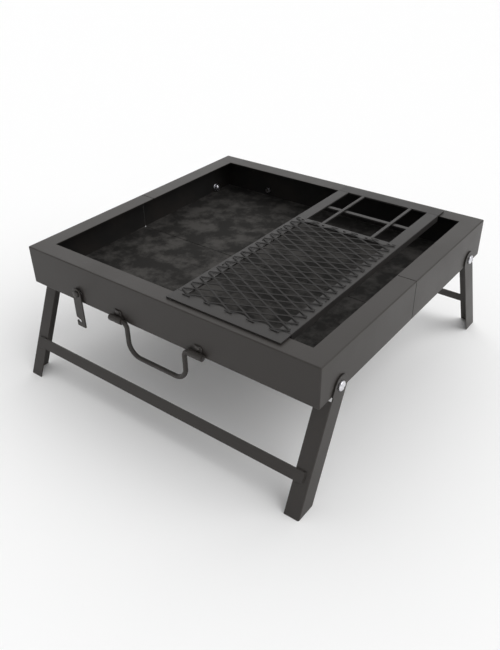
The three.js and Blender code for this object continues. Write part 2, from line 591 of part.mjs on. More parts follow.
function addGrate(pit) {
  const grate = new THREE.Group();
  grate.position.set(GRATE_CENTRE_X, 0, GRATE_BASE);
  pit.add(grate);
  const outer = GRATE_WIDTH / 2;
  const inner = outer - GRATE_RAIL_WIDTH - TOUCH_GAP;
  const endFrom = GRATE_HALF_LENGTH - GRATE_END_FLAT_WIDTH;
  place(grate, "grate_front_flat", grateFlat(-outer, outer, -GRATE_HALF_LENGTH, -endFrom), grateSteel);
  place(grate, "grate_rear_flat", grateFlat(-outer, outer, endFrom, GRATE_HALF_LENGTH), grateSteel);
  for (const side of ["left", "right"]) {
    place(grate, `grate_${side}_rail`, grateRail(side), grateSteel);
  }
  const crossFrom = -GRATE_HALF_LENGTH + GRILL_LENGTH;
  const crossTo = crossFrom + CROSS_FLAT_WIDTH;
  place(grate, "grate_cross_flat", grateFlat(-inner, inner, crossFrom, crossTo), grateSteel);
  const halfBar = KETTLE_BAR_WIDTH / 2;
  for (const [side, x] of [["left", -KETTLE_BAR_OFFSET], ["right", KETTLE_BAR_OFFSET]]) {
    const strip = grateFlat(x - halfBar, x + halfBar, crossTo + TOUCH_GAP, endFrom - TOUCH_GAP);
    place(grate, `grate_kettle_${side}_bar`, strip, grateSteel);
  }
  // The kettle crossbar lies under the two bars and laps under both rails.
  const kettleMiddle = (crossTo + endFrom) / 2;
  const crossReach = inner + KETTLE_CROSSBAR_LAP;
  const crossStrip = grateFlat(-crossReach, crossReach,
    kettleMiddle - KETTLE_CROSSBAR_WIDTH / 2, kettleMiddle + KETTLE_CROSSBAR_WIDTH / 2);
  place(grate, "grate_kettle_crossbar", crossStrip, grateSteel).position.z = -GRATE_FLAT - TOUCH_GAP;
  const meshFront = -endFrom - MESH_OVERLAP / 2;
  const meshRear = (crossFrom + crossTo) / 2;
  const meshWidth = 2 * (inner + MESH_OVERLAP);
  const mesh = grateMesh(meshWidth, meshRear - meshFront);
  place(grate, "grate_mesh", mesh, grateSteel)
    .position.set(0, (meshFront + meshRear) / 2, GRATE_FLAT + TOUCH_GAP);
}

// ---- assembly ----
const pit = new THREE.Group();

const frontHalf = new THREE.Group();
pit.add(frontHalf);
const frontHoles = [
  holeThroughWall(LATCH_X, LATCH_RISE, SMALL_BOLT_RADIUS + HOLE_CLEARANCE),
  holeThroughWall(-SLEEVE_CENTRE_X, RIVET_HEIGHT - TRAY_BOTTOM, RIVET_RADIUS + HOLE_CLEARANCE),
  holeThroughWall(SLEEVE_CENTRE_X, RIVET_HEIGHT - TRAY_BOTTOM, RIVET_RADIUS + HOLE_CLEARANCE),
];
place(frontHalf, "front_tray", halfTray(frontHoles), paint);

const rearHalf = new THREE.Group();
rearHalf.rotation.z = Math.PI;
pit.add(rearHalf);
const rearHoles = [holeThroughWall(-STUD_X, STUD_RISE, STUD_RADIUS + HOLE_CLEARANCE)];
place(rearHalf, "rear_tray", halfTray(rearHoles), paint);

for (const [half, label] of [[frontHalf, "front"], [rearHalf, "rear"]]) {
  addPivotFasteners(half, label);
  addLegFrame(half, label);
  for (const side of ["left", "right"]) {
    place(half, `${side}_hinge_${label}_leaf`, hingeLeaf(), paint)
      .position.x = OWN_SIDE[label][side] * HINGE_CENTRE_X;
  }
}
addHingeLinks(pit);
addHandle(frontHalf);
addLatch(frontHalf);
addCatchStud(rearHalf);
addGrate(pit);

export default pit;
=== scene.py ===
# %% [markdown]
# # A folding fire pit with a cooking grate
# The pit is two shallow half trays of folded sheet steel that stand on two splayed leg frames.
# Its CAD model already fixes every size, hole and pivot. This lesson keeps those places and
# builds the fine surface around them: rolled bends, sheared edges, weld beads, screw threads,
# and paint that has been near a fire, with painted shade darkening the inside of the bowl.

# %% Load the CAD model as a fixed frame
import json
import math
import random

import bmesh
import bpy
from mathutils import Matrix, Vector

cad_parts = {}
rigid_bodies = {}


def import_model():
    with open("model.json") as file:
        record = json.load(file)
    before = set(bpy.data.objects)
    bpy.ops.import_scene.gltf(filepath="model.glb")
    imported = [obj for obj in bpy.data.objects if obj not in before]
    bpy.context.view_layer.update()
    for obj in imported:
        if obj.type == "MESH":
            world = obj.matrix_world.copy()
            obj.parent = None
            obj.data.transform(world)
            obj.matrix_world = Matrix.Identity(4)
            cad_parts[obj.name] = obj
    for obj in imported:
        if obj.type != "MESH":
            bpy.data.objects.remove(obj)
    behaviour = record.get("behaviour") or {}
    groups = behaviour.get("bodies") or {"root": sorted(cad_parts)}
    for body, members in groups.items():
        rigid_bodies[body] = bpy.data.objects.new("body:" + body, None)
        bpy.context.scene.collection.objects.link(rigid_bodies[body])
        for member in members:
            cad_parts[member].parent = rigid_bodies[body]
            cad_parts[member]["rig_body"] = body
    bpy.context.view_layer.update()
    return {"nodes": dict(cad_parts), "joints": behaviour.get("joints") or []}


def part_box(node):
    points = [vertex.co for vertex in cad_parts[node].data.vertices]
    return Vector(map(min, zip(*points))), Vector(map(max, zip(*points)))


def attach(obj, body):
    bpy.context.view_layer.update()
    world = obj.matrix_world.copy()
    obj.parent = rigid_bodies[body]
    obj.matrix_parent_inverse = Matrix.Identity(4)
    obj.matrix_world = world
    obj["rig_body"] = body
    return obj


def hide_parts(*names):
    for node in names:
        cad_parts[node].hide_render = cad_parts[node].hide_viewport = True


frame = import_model()
MM = 0.001

# %% [markdown]
# ## The camera
# The camera comes first, so that every later step can be judged from one fixed seat. It stands in
# front and to the right of the pit and looks down on it. The lens is a little wider than a normal
# lens, so the near corner looks large. The camera is rolled by one degree.

# %% Make the camera
AZIMUTH, ELEVATION, ROLL = math.radians(37.72), math.radians(33.48), -0.0186
EYE, LENS = (0.6594, -0.8923, 0.7834), 37.91
back = Vector((math.sin(AZIMUTH) * math.cos(ELEVATION),
               -math.cos(AZIMUTH) * math.cos(ELEVATION), math.sin(ELEVATION)))
level_right = Vector((math.cos(AZIMUTH), math.sin(AZIMUTH), 0))
level_up = back.cross(level_right)
camera_right = level_right * math.cos(ROLL) + level_up * math.sin(ROLL)
camera_up = level_up * math.cos(ROLL) - level_right * math.sin(ROLL)

camera_data = bpy.data.cameras.new("camera")
camera_data.lens = LENS
camera = bpy.data.objects.new("camera", camera_data)
bpy.context.scene.collection.objects.link(camera)
turn = Matrix((camera_right, camera_up, back)).transposed().to_4x4()
camera.matrix_world = Matrix.Translation(EYE) @ turn
camera_data.clip_start = 0.01
bpy.context.scene.camera = camera
print("camera at", [round(v, 3) for v in camera.location])

# %% [markdown]
# ## From a mesh to a piece
# Every piece below is made the same way: bmesh code makes its shape, one function turns it into an
# object, gives it a finish, lets it ride on its CAD body and hides the CAD node that it stands for.
# Flat faces stay flat and bends stay round because edges sharper than 35 degrees are marked.

# %% Helpers that turn a bmesh into a piece
FINISHES = {}
SMOOTH_LIMIT = math.radians(35)


def body_of_node(node):
    return frame["nodes"][node]["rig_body"]


def link_mesh(name, bm):
    """Puts a finished bmesh into the scene as an object."""
    data = bpy.data.meshes.new(name)
    bm.to_mesh(data)
    bm.free()
    thing = bpy.data.objects.new(name, data)
    bpy.context.scene.collection.objects.link(thing)
    return thing


def make_piece(name, bm, finish, nodes=(), body=None, sheet=0.0, edge=0.0, edge_limit=60):
    """Links a bmesh as one piece; sheet thickens a skin inwards, edge rounds what is sharp."""
    if not sheet:
        bmesh.ops.recalc_face_normals(bm, faces=bm.faces)
    piece = link_mesh(name, bm)
    if sheet:
        thick = piece.modifiers.new("sheet", "SOLIDIFY")
        thick.thickness = sheet
        thick.offset = -1
        thick.use_even_offset = True
    if edge:
        soften(piece, edge, edge_limit)
    bake_modifiers(piece)
    dress(piece, finish, nodes, body)
    return piece


def soften(piece, width, limit=60):
    """Rounds every edge that is sharper than a limit in degrees."""
    soft = piece.modifiers.new("edge", "BEVEL")
    soft.width = width
    soft.segments = 2
    soft.limit_method = "ANGLE"
    soft.angle_limit = math.radians(limit)


def bake_modifiers(piece):
    """Turns the modified shape into plain mesh data and shades it, with flat faces kept flat."""
    apply_shape(piece)
    piece.data.shade_smooth()
    piece.data.set_sharp_from_angle(angle=SMOOTH_LIMIT)
    flat = piece.modifiers.new("flat", "WEIGHTED_NORMAL")
    flat.keep_sharp = True
    apply_shape(piece)


def apply_shape(piece):
    bpy.context.view_layer.update()
    shape = piece.evaluated_get(bpy.context.evaluated_depsgraph_get())
    made = bpy.data.meshes.new_from_object(shape)
    piece.modifiers.clear()
    piece.data = made


def dress(piece, finish, nodes, body=None):
    slot, material = FINISHES[finish]
    piece.data.materials.clear()
    piece.data.materials.append(material)
    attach(piece, body or body_of_node(nodes[0]))
    if nodes:
        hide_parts(*nodes)


def combine(piece, other, operation):
    """A boolean with another object, which is then thrown away."""
    tool = piece.modifiers.new("tool", "BOOLEAN")
    tool.operation = operation
    tool.solver = "EXACT"
    tool.object = other
    bake_modifiers(piece)
    bpy.data.objects.remove(other)


def loose(name, bm):
    """An object that is only a tool for combine()."""
    bmesh.ops.recalc_face_normals(bm, faces=bm.faces)
    return link_mesh(name, bm)


# %% [markdown]
# ## Four basic shapes
# Workshop parts come from a few processes. A plate is cut from sheet along an outline. A turned part
# spins its profile round an axis. A rod is bent along a path. A bar is cut square. Each of them has a
# function here; what is folded, rolled, welded or threaded gets a function of its own later.

# %% Plates, turned parts, rods and bars
X_AXIS, Y_AXIS, Z_AXIS = Vector((1, 0, 0)), Vector((0, 1, 0)), Vector((0, 0, 1))
ROUND = 40


def arc(centre, radius, start, end, steps=8):
    """Points on an arc, from one angle in degrees to another."""
    angles = [math.radians(start + (end - start) * i / steps) for i in range(steps + 1)]
    return [(centre[0] + radius * math.cos(a), centre[1] + radius * math.sin(a)) for a in angles]


def plate(outline, thickness, place):
    """A flat plate: the outline lies in the local XY plane and is thickened along local Z."""
    bm = bmesh.new()
    bottom = [bm.verts.new(place @ Vector((x, y, 0))) for x, y in outline]
    top = [bm.verts.new(place @ Vector((x, y, thickness))) for x, y in outline]
    bm.faces.new(bottom[::-1])
    bm.faces.new(top)
    for i, low in enumerate(bottom):
        j = (i + 1) % len(bottom)
        bm.faces.new((low, bottom[j], top[j], top[i]))
    return bm


def spoke(radius, k, sides, height):
    """Point number k of some that are spread evenly round local Z."""
    return Vector((radius * math.cos(math.tau * k / sides), radius * math.sin(math.tau * k / sides), height))


def turned(profile, place, sides=ROUND):
    """Spins (radius, height) pairs about local Z; a radius of zero closes the end."""
    bm = bmesh.new()
    rings = []
    for radius, height in profile:
        if radius == 0:
            rings.append([bm.verts.new(place @ Vector((0, 0, height)))])
            continue
        rings.append([bm.verts.new(place @ spoke(radius, k, sides, height)) for k in range(sides)])
    closed = profile[0][0] != 0
    pairs = list(zip(rings, rings[1:])) + ([(rings[-1], rings[0])] if closed else [])
    for low, high in pairs:
        for k in range(sides):
            after = k + 1
            ring = [low[k % len(low)], low[after % len(low)], high[after % len(high)], high[k % len(high)]]
            bm.faces.new(list(dict.fromkeys(ring)))
    return bm


def skin_rings(bm, rings):
    """Joins rings of equally many vertices into a tube that is closed at both ends."""
    sides = len(rings[0])
    for low, high in zip(rings, rings[1:]):
        for k in range(sides):
            bm.faces.new((low[k], low[(k + 1) % sides], high[(k + 1) % sides], high[k]))
    bm.faces.new(rings[0][::-1])
    bm.faces.new(rings[-1])


def rod(path, radius, sides):
    """A round rod along a path of points that lies in one plane."""
    bm = bmesh.new()
    for point in path[2:]:
        flat = (path[1] - path[0]).cross(point - path[0])
        if flat.length > 1e-9:
            break
    across = flat.normalized()
    rings = []
    for i, point in enumerate(path):
        along = (path[min(i + 1, len(path) - 1)] - path[max(i - 1, 0)]).normalized()
        side = along.cross(across)
        rings.append([bm.verts.new(point + radius * (side * math.cos(math.tau * k / sides)
                                                     + across * math.sin(math.tau * k / sides)))
                      for k in range(sides)])
    skin_rings(bm, rings)
    return bm


def bar(low, high):
    """A square-cut bar between two corners."""
    bm = bmesh.new()
    size = Vector(high) - Vector(low)
    middle = (Vector(high) + Vector(low)) / 2
    bmesh.ops.create_cube(bm, size=1, matrix=Matrix.Translation(middle) @ Matrix.Diagonal((*size, 1)))
    return bm


def facing(direction, origin=(0, 0, 0)):
    """A placement whose local Z points along a direction; its local Y stays as upright as it can."""
    z = Vector(direction).normalized()
    x = (Y_AXIS if abs(z.z) > 0.9 else Z_AXIS).cross(z).normalized()
    return Matrix.Translation(origin) @ Matrix((x, z.cross(x), z)).transposed().to_4x4()


def add(target, source):
    """Puts one bmesh into another as a separate shell."""
    carrier = bpy.data.meshes.new("carrier")
    source.to_mesh(carrier)
    source.free()
    target.from_mesh(carrier)
    bpy.data.meshes.remove(carrier)
    return target


def shear(bm, point, normal):
    """Cuts a mesh along a plane, throws away what lies beyond it and closes the cut."""
    cut = bmesh.ops.bisect_plane(bm, geom=bm.verts[:] + bm.edges[:] + bm.faces[:], plane_co=point,
                                 plane_no=normal, clear_outer=True, dist=1e-7)
    edges = [e for e in cut["geom_cut"] if isinstance(e, bmesh.types.BMEdge) and e.is_boundary]
    bmesh.ops.holes_fill(bm, edges=edges, sides=0)


print("plates, turned parts, rods and bars are ready")

# %% [markdown]
# ## Paint, zinc, soot and painted shade
# All but the small metal parts is powder coated in a dark, warm grey. Powder coat is never a perfectly
# smooth film: it has a fine orange peel, its gloss wanders a little, and dust and fingers leave
# large faint clouds. Noise at several scales gives that. Inside the bowl the walls are painted near
# black, partly as soot from the fire and partly as painted shade of the hollow bowl, and ash lies on
# the floor; a mask made from the place of each point keeps the outside clean.

# %% A small kit for building node materials
def new_material(name, metallic=0.0, specular=0.5):
    material = bpy.data.materials.new(name)
    material.use_nodes = True
    shader = material.node_tree.nodes["Principled BSDF"]
    shader.inputs["Metallic"].default_value = metallic
    shader.inputs["Specular IOR Level"].default_value = specular
    return material, material.node_tree, shader


def noise(tree, scale, detail=3.0, roughness=0.5):
    """Noise in metres: scale is how many lumps there are in one metre."""
    place = tree.nodes.new("ShaderNodeTexCoord")
    texture = tree.nodes.new("ShaderNodeTexNoise")
    texture.inputs["Scale"].default_value = scale
    texture.inputs["Detail"].default_value = detail
    texture.inputs["Roughness"].default_value = roughness
    tree.links.new(place.outputs["Object"], texture.inputs["Vector"])
    return texture.outputs["Fac"]


def remap(tree, value, low, high, out_low=0.0, out_high=1.0):
    """Stretches the part of a value between low and high over a new range."""
    node = tree.nodes.new("ShaderNodeMapRange")
    for socket, number in zip(("From Min", "From Max", "To Min", "To Max"), (low, high, out_low, out_high)):
        node.inputs[socket].default_value = number
    tree.links.new(value, node.inputs["Value"])
    return node.outputs["Result"]


def mixed(tree, share, first, second):
    """Two colours, or the outputs that carry them, mixed by a share from 0 to 1."""
    node = tree.nodes.new("ShaderNodeMix")
    node.data_type = "RGBA"
    tree.links.new(share, node.inputs["Factor"])
    for socket, colour in ((node.inputs["A"], first), (node.inputs["B"], second)):
        if isinstance(colour, tuple):
            socket.default_value = (*colour, 1)
        else:
            tree.links.new(colour, socket)
    return node.outputs["Result"]


def maths(tree, operation, first, second=0.5):
    node = tree.nodes.new("ShaderNodeMath")
    node.operation = operation
    for socket, value in zip(node.inputs, (first, second)):
        if isinstance(value, (int, float)):
            socket.default_value = value
        else:
            tree.links.new(value, socket)
    return node.outputs["Value"]


def bump(tree, shader, height, distance, strength):
    node = tree.nodes.new("ShaderNodeBump")
    node.inputs["Strength"].default_value = strength
    node.inputs["Distance"].default_value = distance
    tree.links.new(height, node.inputs["Height"])
    tree.links.new(node.outputs["Normal"], shader.inputs["Normal"])


# Finds sharp edges, which are then lightened: partly worn paint, partly a painted highlight along the bends.
def edge_wear_and_highlight(tree, radius):
    """Near 1 where a sharp edge is close, found by comparing the true and the rounded normal."""
    rounded = tree.nodes.new("ShaderNodeBevel")
    rounded.samples = 4
    rounded.inputs["Radius"].default_value = radius
    geometry = tree.nodes.new("ShaderNodeNewGeometry")
    dot = tree.nodes.new("ShaderNodeVectorMath")
    dot.operation = "DOT_PRODUCT"
    tree.links.new(rounded.outputs["Normal"], dot.inputs[0])
    tree.links.new(geometry.outputs["Normal"], dot.inputs[1])
    return remap(tree, dot.outputs["Value"], 0.97, 0.75)


print("material kit is ready")

# %% Powder coat, what the fire does to it, and painted shade inside the bowl
TRAY_INSIDE = Vector((299, 277.5, 246)) * MM
ASH_LEVEL = 179 * MM
ORANGE_PEEL, WORN_AND_HIGHLIT_EDGE = 0.09 * MM, 0.6 * MM
# These two colours paint the inside of the bowl near black: partly soot, partly painted shade.
SOOT_AND_SHADE, SOOT_AND_SHADE_BROWN = (0.0065, 0.0060, 0.0056), (0.013, 0.0105, 0.009)
ASH, DARK_ASH = (0.050, 0.047, 0.044), (0.012, 0.011, 0.010)


def below(tree, value, limit):
    return maths(tree, "LESS_THAN", value, limit)


def fire_and_shade_marks(tree):
    """Two shares for a tray: one for its inside, darkened by soot and painted shade, and one for the ashy
    floor of it.
    """
    place = tree.nodes.new("ShaderNodeTexCoord")
    parts = tree.nodes.new("ShaderNodeSeparateXYZ")
    tree.links.new(place.outputs["Object"], parts.inputs["Vector"])
    x, y, z = (parts.outputs[axis] for axis in "XYZ")
    across = below(tree, maths(tree, "ABSOLUTE", x), TRAY_INSIDE.x)
    along = below(tree, maths(tree, "ABSOLUTE", y), TRAY_INSIDE.y)
    above_floor = maths(tree, "GREATER_THAN", z, ASH_LEVEL - 2 * MM)
    inside = maths(tree, "MULTIPLY", maths(tree, "MULTIPLY", across, along),
                   maths(tree, "MULTIPLY", above_floor, below(tree, z, TRAY_INSIDE.z)))
    return inside, maths(tree, "MULTIPLY", inside, below(tree, z, ASH_LEVEL))


def powder_coat(name, colour, cloud_colour, roughness, burnt_and_shaded=False):
    material, tree, shader = new_material(name, specular=0.3)
    clouds = remap(tree, noise(tree, 9, 4), 0.35, 0.7)
    grain = noise(tree, 900, 2)
    coat = mixed(tree, clouds, colour, cloud_colour)
    # Edges are lightened in patches: partly worn paint, partly a painted highlight along the bends.
    worn_and_highlit = maths(tree, "MULTIPLY", edge_wear_and_highlight(tree, WORN_AND_HIGHLIT_EDGE), remap(tree, noise(tree, 60), 0.45, 0.62))
    rubbed_and_highlit = tuple(min(1, c * 1.7 + 0.02) for c in colour)
    coat = mixed(tree, worn_and_highlit, coat, rubbed_and_highlit)
    gloss = maths(tree, "ADD", remap(tree, clouds, 0, 1, roughness - 0.04, roughness + 0.05),
                  remap(tree, grain, 0.3, 0.7, -0.02, 0.02))
    skin = maths(tree, "ADD", grain, maths(tree, "MULTIPLY", noise(tree, 350, 1), 1.5))
    if burnt_and_shaded:
        # Inside the bowl the coat is painted near black: partly soot, partly painted shade of the hollow.
        inside, floor_share = fire_and_shade_marks(tree)
        soot_and_shade = mixed(tree, remap(tree, noise(tree, 14, 5), 0.45, 0.7), SOOT_AND_SHADE, SOOT_AND_SHADE_BROWN)
        ash = mixed(tree, remap(tree, noise(tree, 22, 6, 0.65), 0.44, 0.62), DARK_ASH, ASH)
        coat = mixed(tree, inside, coat, mixed(tree, floor_share, soot_and_shade, ash))
        gloss = maths(tree, "MAXIMUM", gloss, maths(tree, "MULTIPLY", inside, 0.92))
        flakes = maths(tree, "MULTIPLY", noise(tree, 260, 4, 0.7), 4.0)
        skin = maths(tree, "ADD", skin, maths(tree, "MULTIPLY", floor_share, flakes))
    tree.links.new(coat, shader.inputs["Base Color"])
    tree.links.new(gloss, shader.inputs["Roughness"])
    bump(tree, shader, skin, ORANGE_PEEL, 0.5)
    return material


COAT, COAT_CLOUD = (0.0310, 0.0272, 0.0245), (0.0355, 0.0318, 0.0290)
GRATE_COAT, GRATE_CLOUD = (0.0245, 0.0228, 0.0220), (0.033, 0.0305, 0.0290)
SEARED_COAT, SEARED_CLOUD = (0.0150, 0.0138, 0.0130), (0.022, 0.020, 0.019)
FINISHES["paint"] = ("painted_steel", powder_coat("powder_coat", COAT, COAT_CLOUD, 0.44))
# This coat darkens the inside of the bowl with soot and painted shade.
FINISHES["burnt_and_shaded_paint"] = ("painted_steel", powder_coat("burnt_and_shaded_coat", COAT, COAT_CLOUD, 0.44, burnt_and_shaded=True))
FINISHES["grate"] = ("grate_steel", powder_coat("grate_coat", GRATE_COAT, GRATE_CLOUD, 0.48))
FINISHES["seared"] = ("grate_steel", powder_coat("seared_coat", SEARED_COAT, SEARED_CLOUD, 0.52))
print("powder coats:", [material.name for _, material in FINISHES.values()])

# %% Zinc plate and black oxide
def plated(name, colour, shade, roughness, metallic=1.0):
    material, tree, shader = new_material(name, metallic)
    blotch = remap(tree, noise(tree, 240, 3), 0.35, 0.65)
    tree.links.new(mixed(tree, blotch, colour, shade), shader.inputs["Base Color"])
    tree.links.new(remap(tree, blotch, 0, 1, roughness - 0.05, roughness + 0.08), shader.inputs["Roughness"])
    bump(tree, shader, noise(tree, 1500, 2), 2e-5, 0.4)
    return material


ZINC, DULL_ZINC = (0.80, 0.80, 0.83), (0.66, 0.66, 0.70)
BLACK_OXIDE, GREY_OXIDE = (0.040, 0.037, 0.035), (0.060, 0.055, 0.052)
FINISHES["zinc"] = ("zinc_plate", plated("zinc_plate", ZINC, DULL_ZINC, 0.28))
FINISHES["black"] = ("dark_fastener", plated("black_oxide", BLACK_OXIDE, GREY_OXIDE, 0.38, metallic=0.4))
print("finishes:", sorted(FINISHES))

# %% [markdown]
# ## The half trays
# Each half is one blank of 2 mm sheet: a floor, three walls and a rim turned inwards on top of them.
# The blank is folded on a press brake, so no fold is sharp: outside it has a radius of about 2 mm.
# The skin below is the outer face only. Its folds are rounded with bmesh's bevel, and a solidify
# modifier then gives it the thickness of the sheet, inwards, so the outside keeps its size.
# The corners of the rim are mitred and welded flush, so they are modelled as one piece.

# %% Fold the half trays
SHEET = 2 * MM
FOLD_RADIUS = 2.15 * MM
RIM = 33.5 * MM
SEAM_RELIEF = 2.2 * MM


def half_tray(label, outward):
    """outward is the side of the end wall: -1 for the front half and +1 for the rear half."""
    low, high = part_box(f"{label}_tray")
    wall_y, seam_y = (low.y, high.y) if outward < 0 else (high.y, low.y)
    inner_y = wall_y - outward * RIM
    relief_y = seam_y + outward * SEAM_RELIEF
    bm = bmesh.new()

    def corner(x, y, z):
        return bm.verts.new((x, y, z))

    floor, top, seam = {}, {}, {}
    for x in (low.x, high.x):
        floor[x] = corner(x, wall_y, low.z)
        top[x] = corner(x, wall_y, high.z)
        relief = [corner(x, relief_y, low.z), corner(x, relief_y, low.z + SEAM_RELIEF),
                  corner(x, seam_y, low.z + SEAM_RELIEF), corner(x, seam_y, high.z)]
        seam[x] = relief
    bm.faces.new((floor[low.x], floor[high.x], seam[high.x][0],
                  corner(high.x - SEAM_RELIEF, seam_y, low.z), corner(low.x + SEAM_RELIEF, seam_y, low.z),
                  seam[low.x][0]))
    bm.faces.new((floor[low.x], floor[high.x], top[high.x], top[low.x]))
    for x in (low.x, high.x):
        bm.faces.new((floor[x], top[x], *reversed(seam[x])))
    inner_x = (high.x - RIM, low.x + RIM)
    bm.faces.new((top[low.x], top[high.x], seam[high.x][3], corner(inner_x[0], seam_y, high.z),
                  corner(inner_x[0], inner_y, high.z), corner(inner_x[1], inner_y, high.z),
                  corner(inner_x[1], seam_y, high.z), seam[low.x][3]))
    bmesh.ops.recalc_face_normals(bm, faces=bm.faces)
    inside = Vector((0, (wall_y + seam_y) / 2, (low.z + high.z) / 2))
    for face in bm.faces:
        if face.normal.dot(face.calc_center_median() - inside) < 0:
            face.normal_flip()
    folds = [e for e in bm.edges if len(e.link_faces) == 2]
    bmesh.ops.bevel(bm, geom=folds, offset=FOLD_RADIUS, segments=5, profile=0.5, affect="EDGES")
    return bm


# The trays take the coat whose inside is painted near black with soot and painted shade.
for label, outward in (("front", -1), ("rear", 1)):
    tray = make_piece(f"{label}_half_tray", half_tray(label, outward), "burnt_and_shaded_paint", [f"{label}_tray"],
                      sheet=SHEET, edge=0.35 * MM)
    print(tray.name, "has", len(tray.data.polygons), "faces")

# %% [markdown]
# ## The leg frames
# A leg is an angle folded from 2 mm sheet. Its side flange lies against the end of the tray and is
# rounded off round the pivot, and its narrower cross flange faces away from the pit. Where the fold
# ends, a small relief is nibbled out so that the sheet doesn't tear. The leg is drawn upright about
# its own pivot, and one placement leans it outwards, so its foot can be cut level with the ground.

# %% Where the legs stand
SPLAY = math.radians(23.6)
LEG_SHEET = 2 * MM
LEG_FOLD = 2.4 * MM
SIDE_FLANGE = 33.7 * MM
FACE_OFFSET = -14.5 * MM
RELIEF = 4 * MM
SPARE = 2 * MM
PIVOT_HOLE = 4.3 * MM
DRILL_START, DRILL_REACH = 280 * MM, 40 * MM
pivots = {j["child"]: Vector(j["pos_m"]) for j in frame["joints"] if j["name"].endswith("leg_fold")}
LEG_INNER_X, LEG_OUTER_X = (corner.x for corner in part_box("front_right_leg"))
TRAY_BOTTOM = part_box("front_tray")[0].z


def leg_place(label):
    """From the upright drawing of one half's legs to the pit; the rear half is turned round."""
    pivot = pivots[f"{label}_leg_frame"]
    half_turn = Matrix.Rotation(0 if label == "front" else math.pi, 4, "Z")
    return half_turn @ Matrix.Translation((0, -abs(pivot.y), pivot.z)) @ Matrix.Rotation(-SPLAY, 4, "X")


def own_side(label, side):
    """The rear half is turned round, so the pit's left is on its own right."""
    return (1 if side == "right" else -1) * (1 if label == "front" else -1)


def level_cut(y, height):
    """How far down an upright line at y the leaning leg meets a level plane at that height."""
    return -(pivots["front_leg_frame"].z - height - y * math.sin(SPLAY)) / math.cos(SPLAY)


print("legs lean", round(math.degrees(SPLAY), 1), "degrees about", [tuple(p) for p in pivots.values()])

# %% Fold the legs
def leg(label, side):
    fold_y = FACE_OFFSET + LEG_FOLD
    back_y = FACE_OFFSET + SIDE_FLANGE
    flange_top = level_cut(FACE_OFFSET, TRAY_BOTTOM) - 0.3 * MM
    notch_low, notch_high = flange_top - RELIEF, flange_top + RELIEF / 2
    place = leg_place(label)
    mirror = own_side(label, side)
    bm = bmesh.new()

    def corner(x, y, z):
        return bm.verts.new(place @ Vector((mirror * x, y, z)))

    fold_foot, fold_top = [], []
    for x, y in arc((LEG_OUTER_X - LEG_FOLD, fold_y), LEG_FOLD, 0, -90, 5):
        fold_foot.append(corner(x, y, level_cut(y, -SPARE)))
        fold_top.append(corner(x, y, notch_low))
    round_top = arc((FACE_OFFSET + SIDE_FLANGE / 2, 0), SIDE_FLANGE / 2, 0, 180, 24)
    side_plate = [fold_foot[0], corner(LEG_OUTER_X, back_y, level_cut(back_y, -SPARE))]
    side_plate += [corner(LEG_OUTER_X, y, z) for y, z in round_top]
    side_plate += [corner(LEG_OUTER_X, FACE_OFFSET, notch_high), corner(LEG_OUTER_X, fold_y, notch_high),
                   fold_top[0]]
    bm.faces.new(side_plate)
    notch_x = LEG_OUTER_X - LEG_FOLD - RELIEF
    bm.faces.new([fold_foot[-1], fold_top[-1], corner(notch_x, FACE_OFFSET, notch_low),
                  corner(notch_x, FACE_OFFSET, flange_top), corner(LEG_INNER_X, FACE_OFFSET, flange_top),
                  corner(LEG_INNER_X, FACE_OFFSET, level_cut(FACE_OFFSET, -SPARE))])
    for i in range(len(fold_foot) - 1):
        bm.faces.new((fold_foot[i], fold_foot[i + 1], fold_top[i + 1], fold_top[i]))
    bmesh.ops.recalc_face_normals(bm, faces=bm.faces)
    bm.faces.ensure_lookup_table()
    outwards = place.to_3x3() @ Vector((mirror, 0, 0))
    if bm.faces[0].normal.dot(outwards) < 0:
        bmesh.ops.reverse_faces(bm, faces=bm.faces)
    return bm


def drill(radius, start, direction):
    """A tool for combine(): a round bar that bores through what lies ahead of its start."""
    profile = [(0, 0), (radius, 0), (radius, DRILL_REACH), (0, DRILL_REACH)]
    return loose("drill", turned(profile, facing(direction, start)))


def pivot_drill(label, side):
    pivot = pivots[f"{label}_leg_frame"]
    sign = 1 if side == "right" else -1
    return drill(PIVOT_HOLE, (sign * DRILL_START, pivot.y, pivot.z), (sign, 0, 0))


def cut_level(piece):
    """Saws off what would stand below the ground."""
    bm = bmesh.new()
    bm.from_mesh(piece.data)
    shear(bm, (0, 0, 0), (0, 0, -1))
    bm.to_mesh(piece.data)
    bm.free()


for label in ("front", "rear"):
    for side in ("left", "right"):
        made = make_piece(f"{label}_{side}_angle_leg", leg(label, side), "paint", [f"{label}_{side}_leg"],
                          sheet=LEG_SHEET)
        cut_level(made)
        combine(made, pivot_drill(label, side), "DIFFERENCE")
        soften(made, 0.3 * MM)
        bake_modifiers(made)
        combine(bpy.data.objects[f"{label}_half_tray"], pivot_drill(label, side), "DIFFERENCE")
        print(made.name, "foot at", round(min(v.co.z for v in made.data.vertices) / MM, 2), "mm")

# %% [markdown]
# ## Crossbars and their welds
# A flat bar, sheared square at its ends, joins each pair of legs. It lies on the outer faces of the
# cross flanges and is welded round each end. A weld bead is a row of frozen ripples, so the bead is
# a rod whose radius swells and shrinks along its length, with a little unevenness of the hand.

# %% Weld beads
weld_hand = random.Random(7)
RIPPLE = 1.3 * MM
BEAD_SIDES = 10


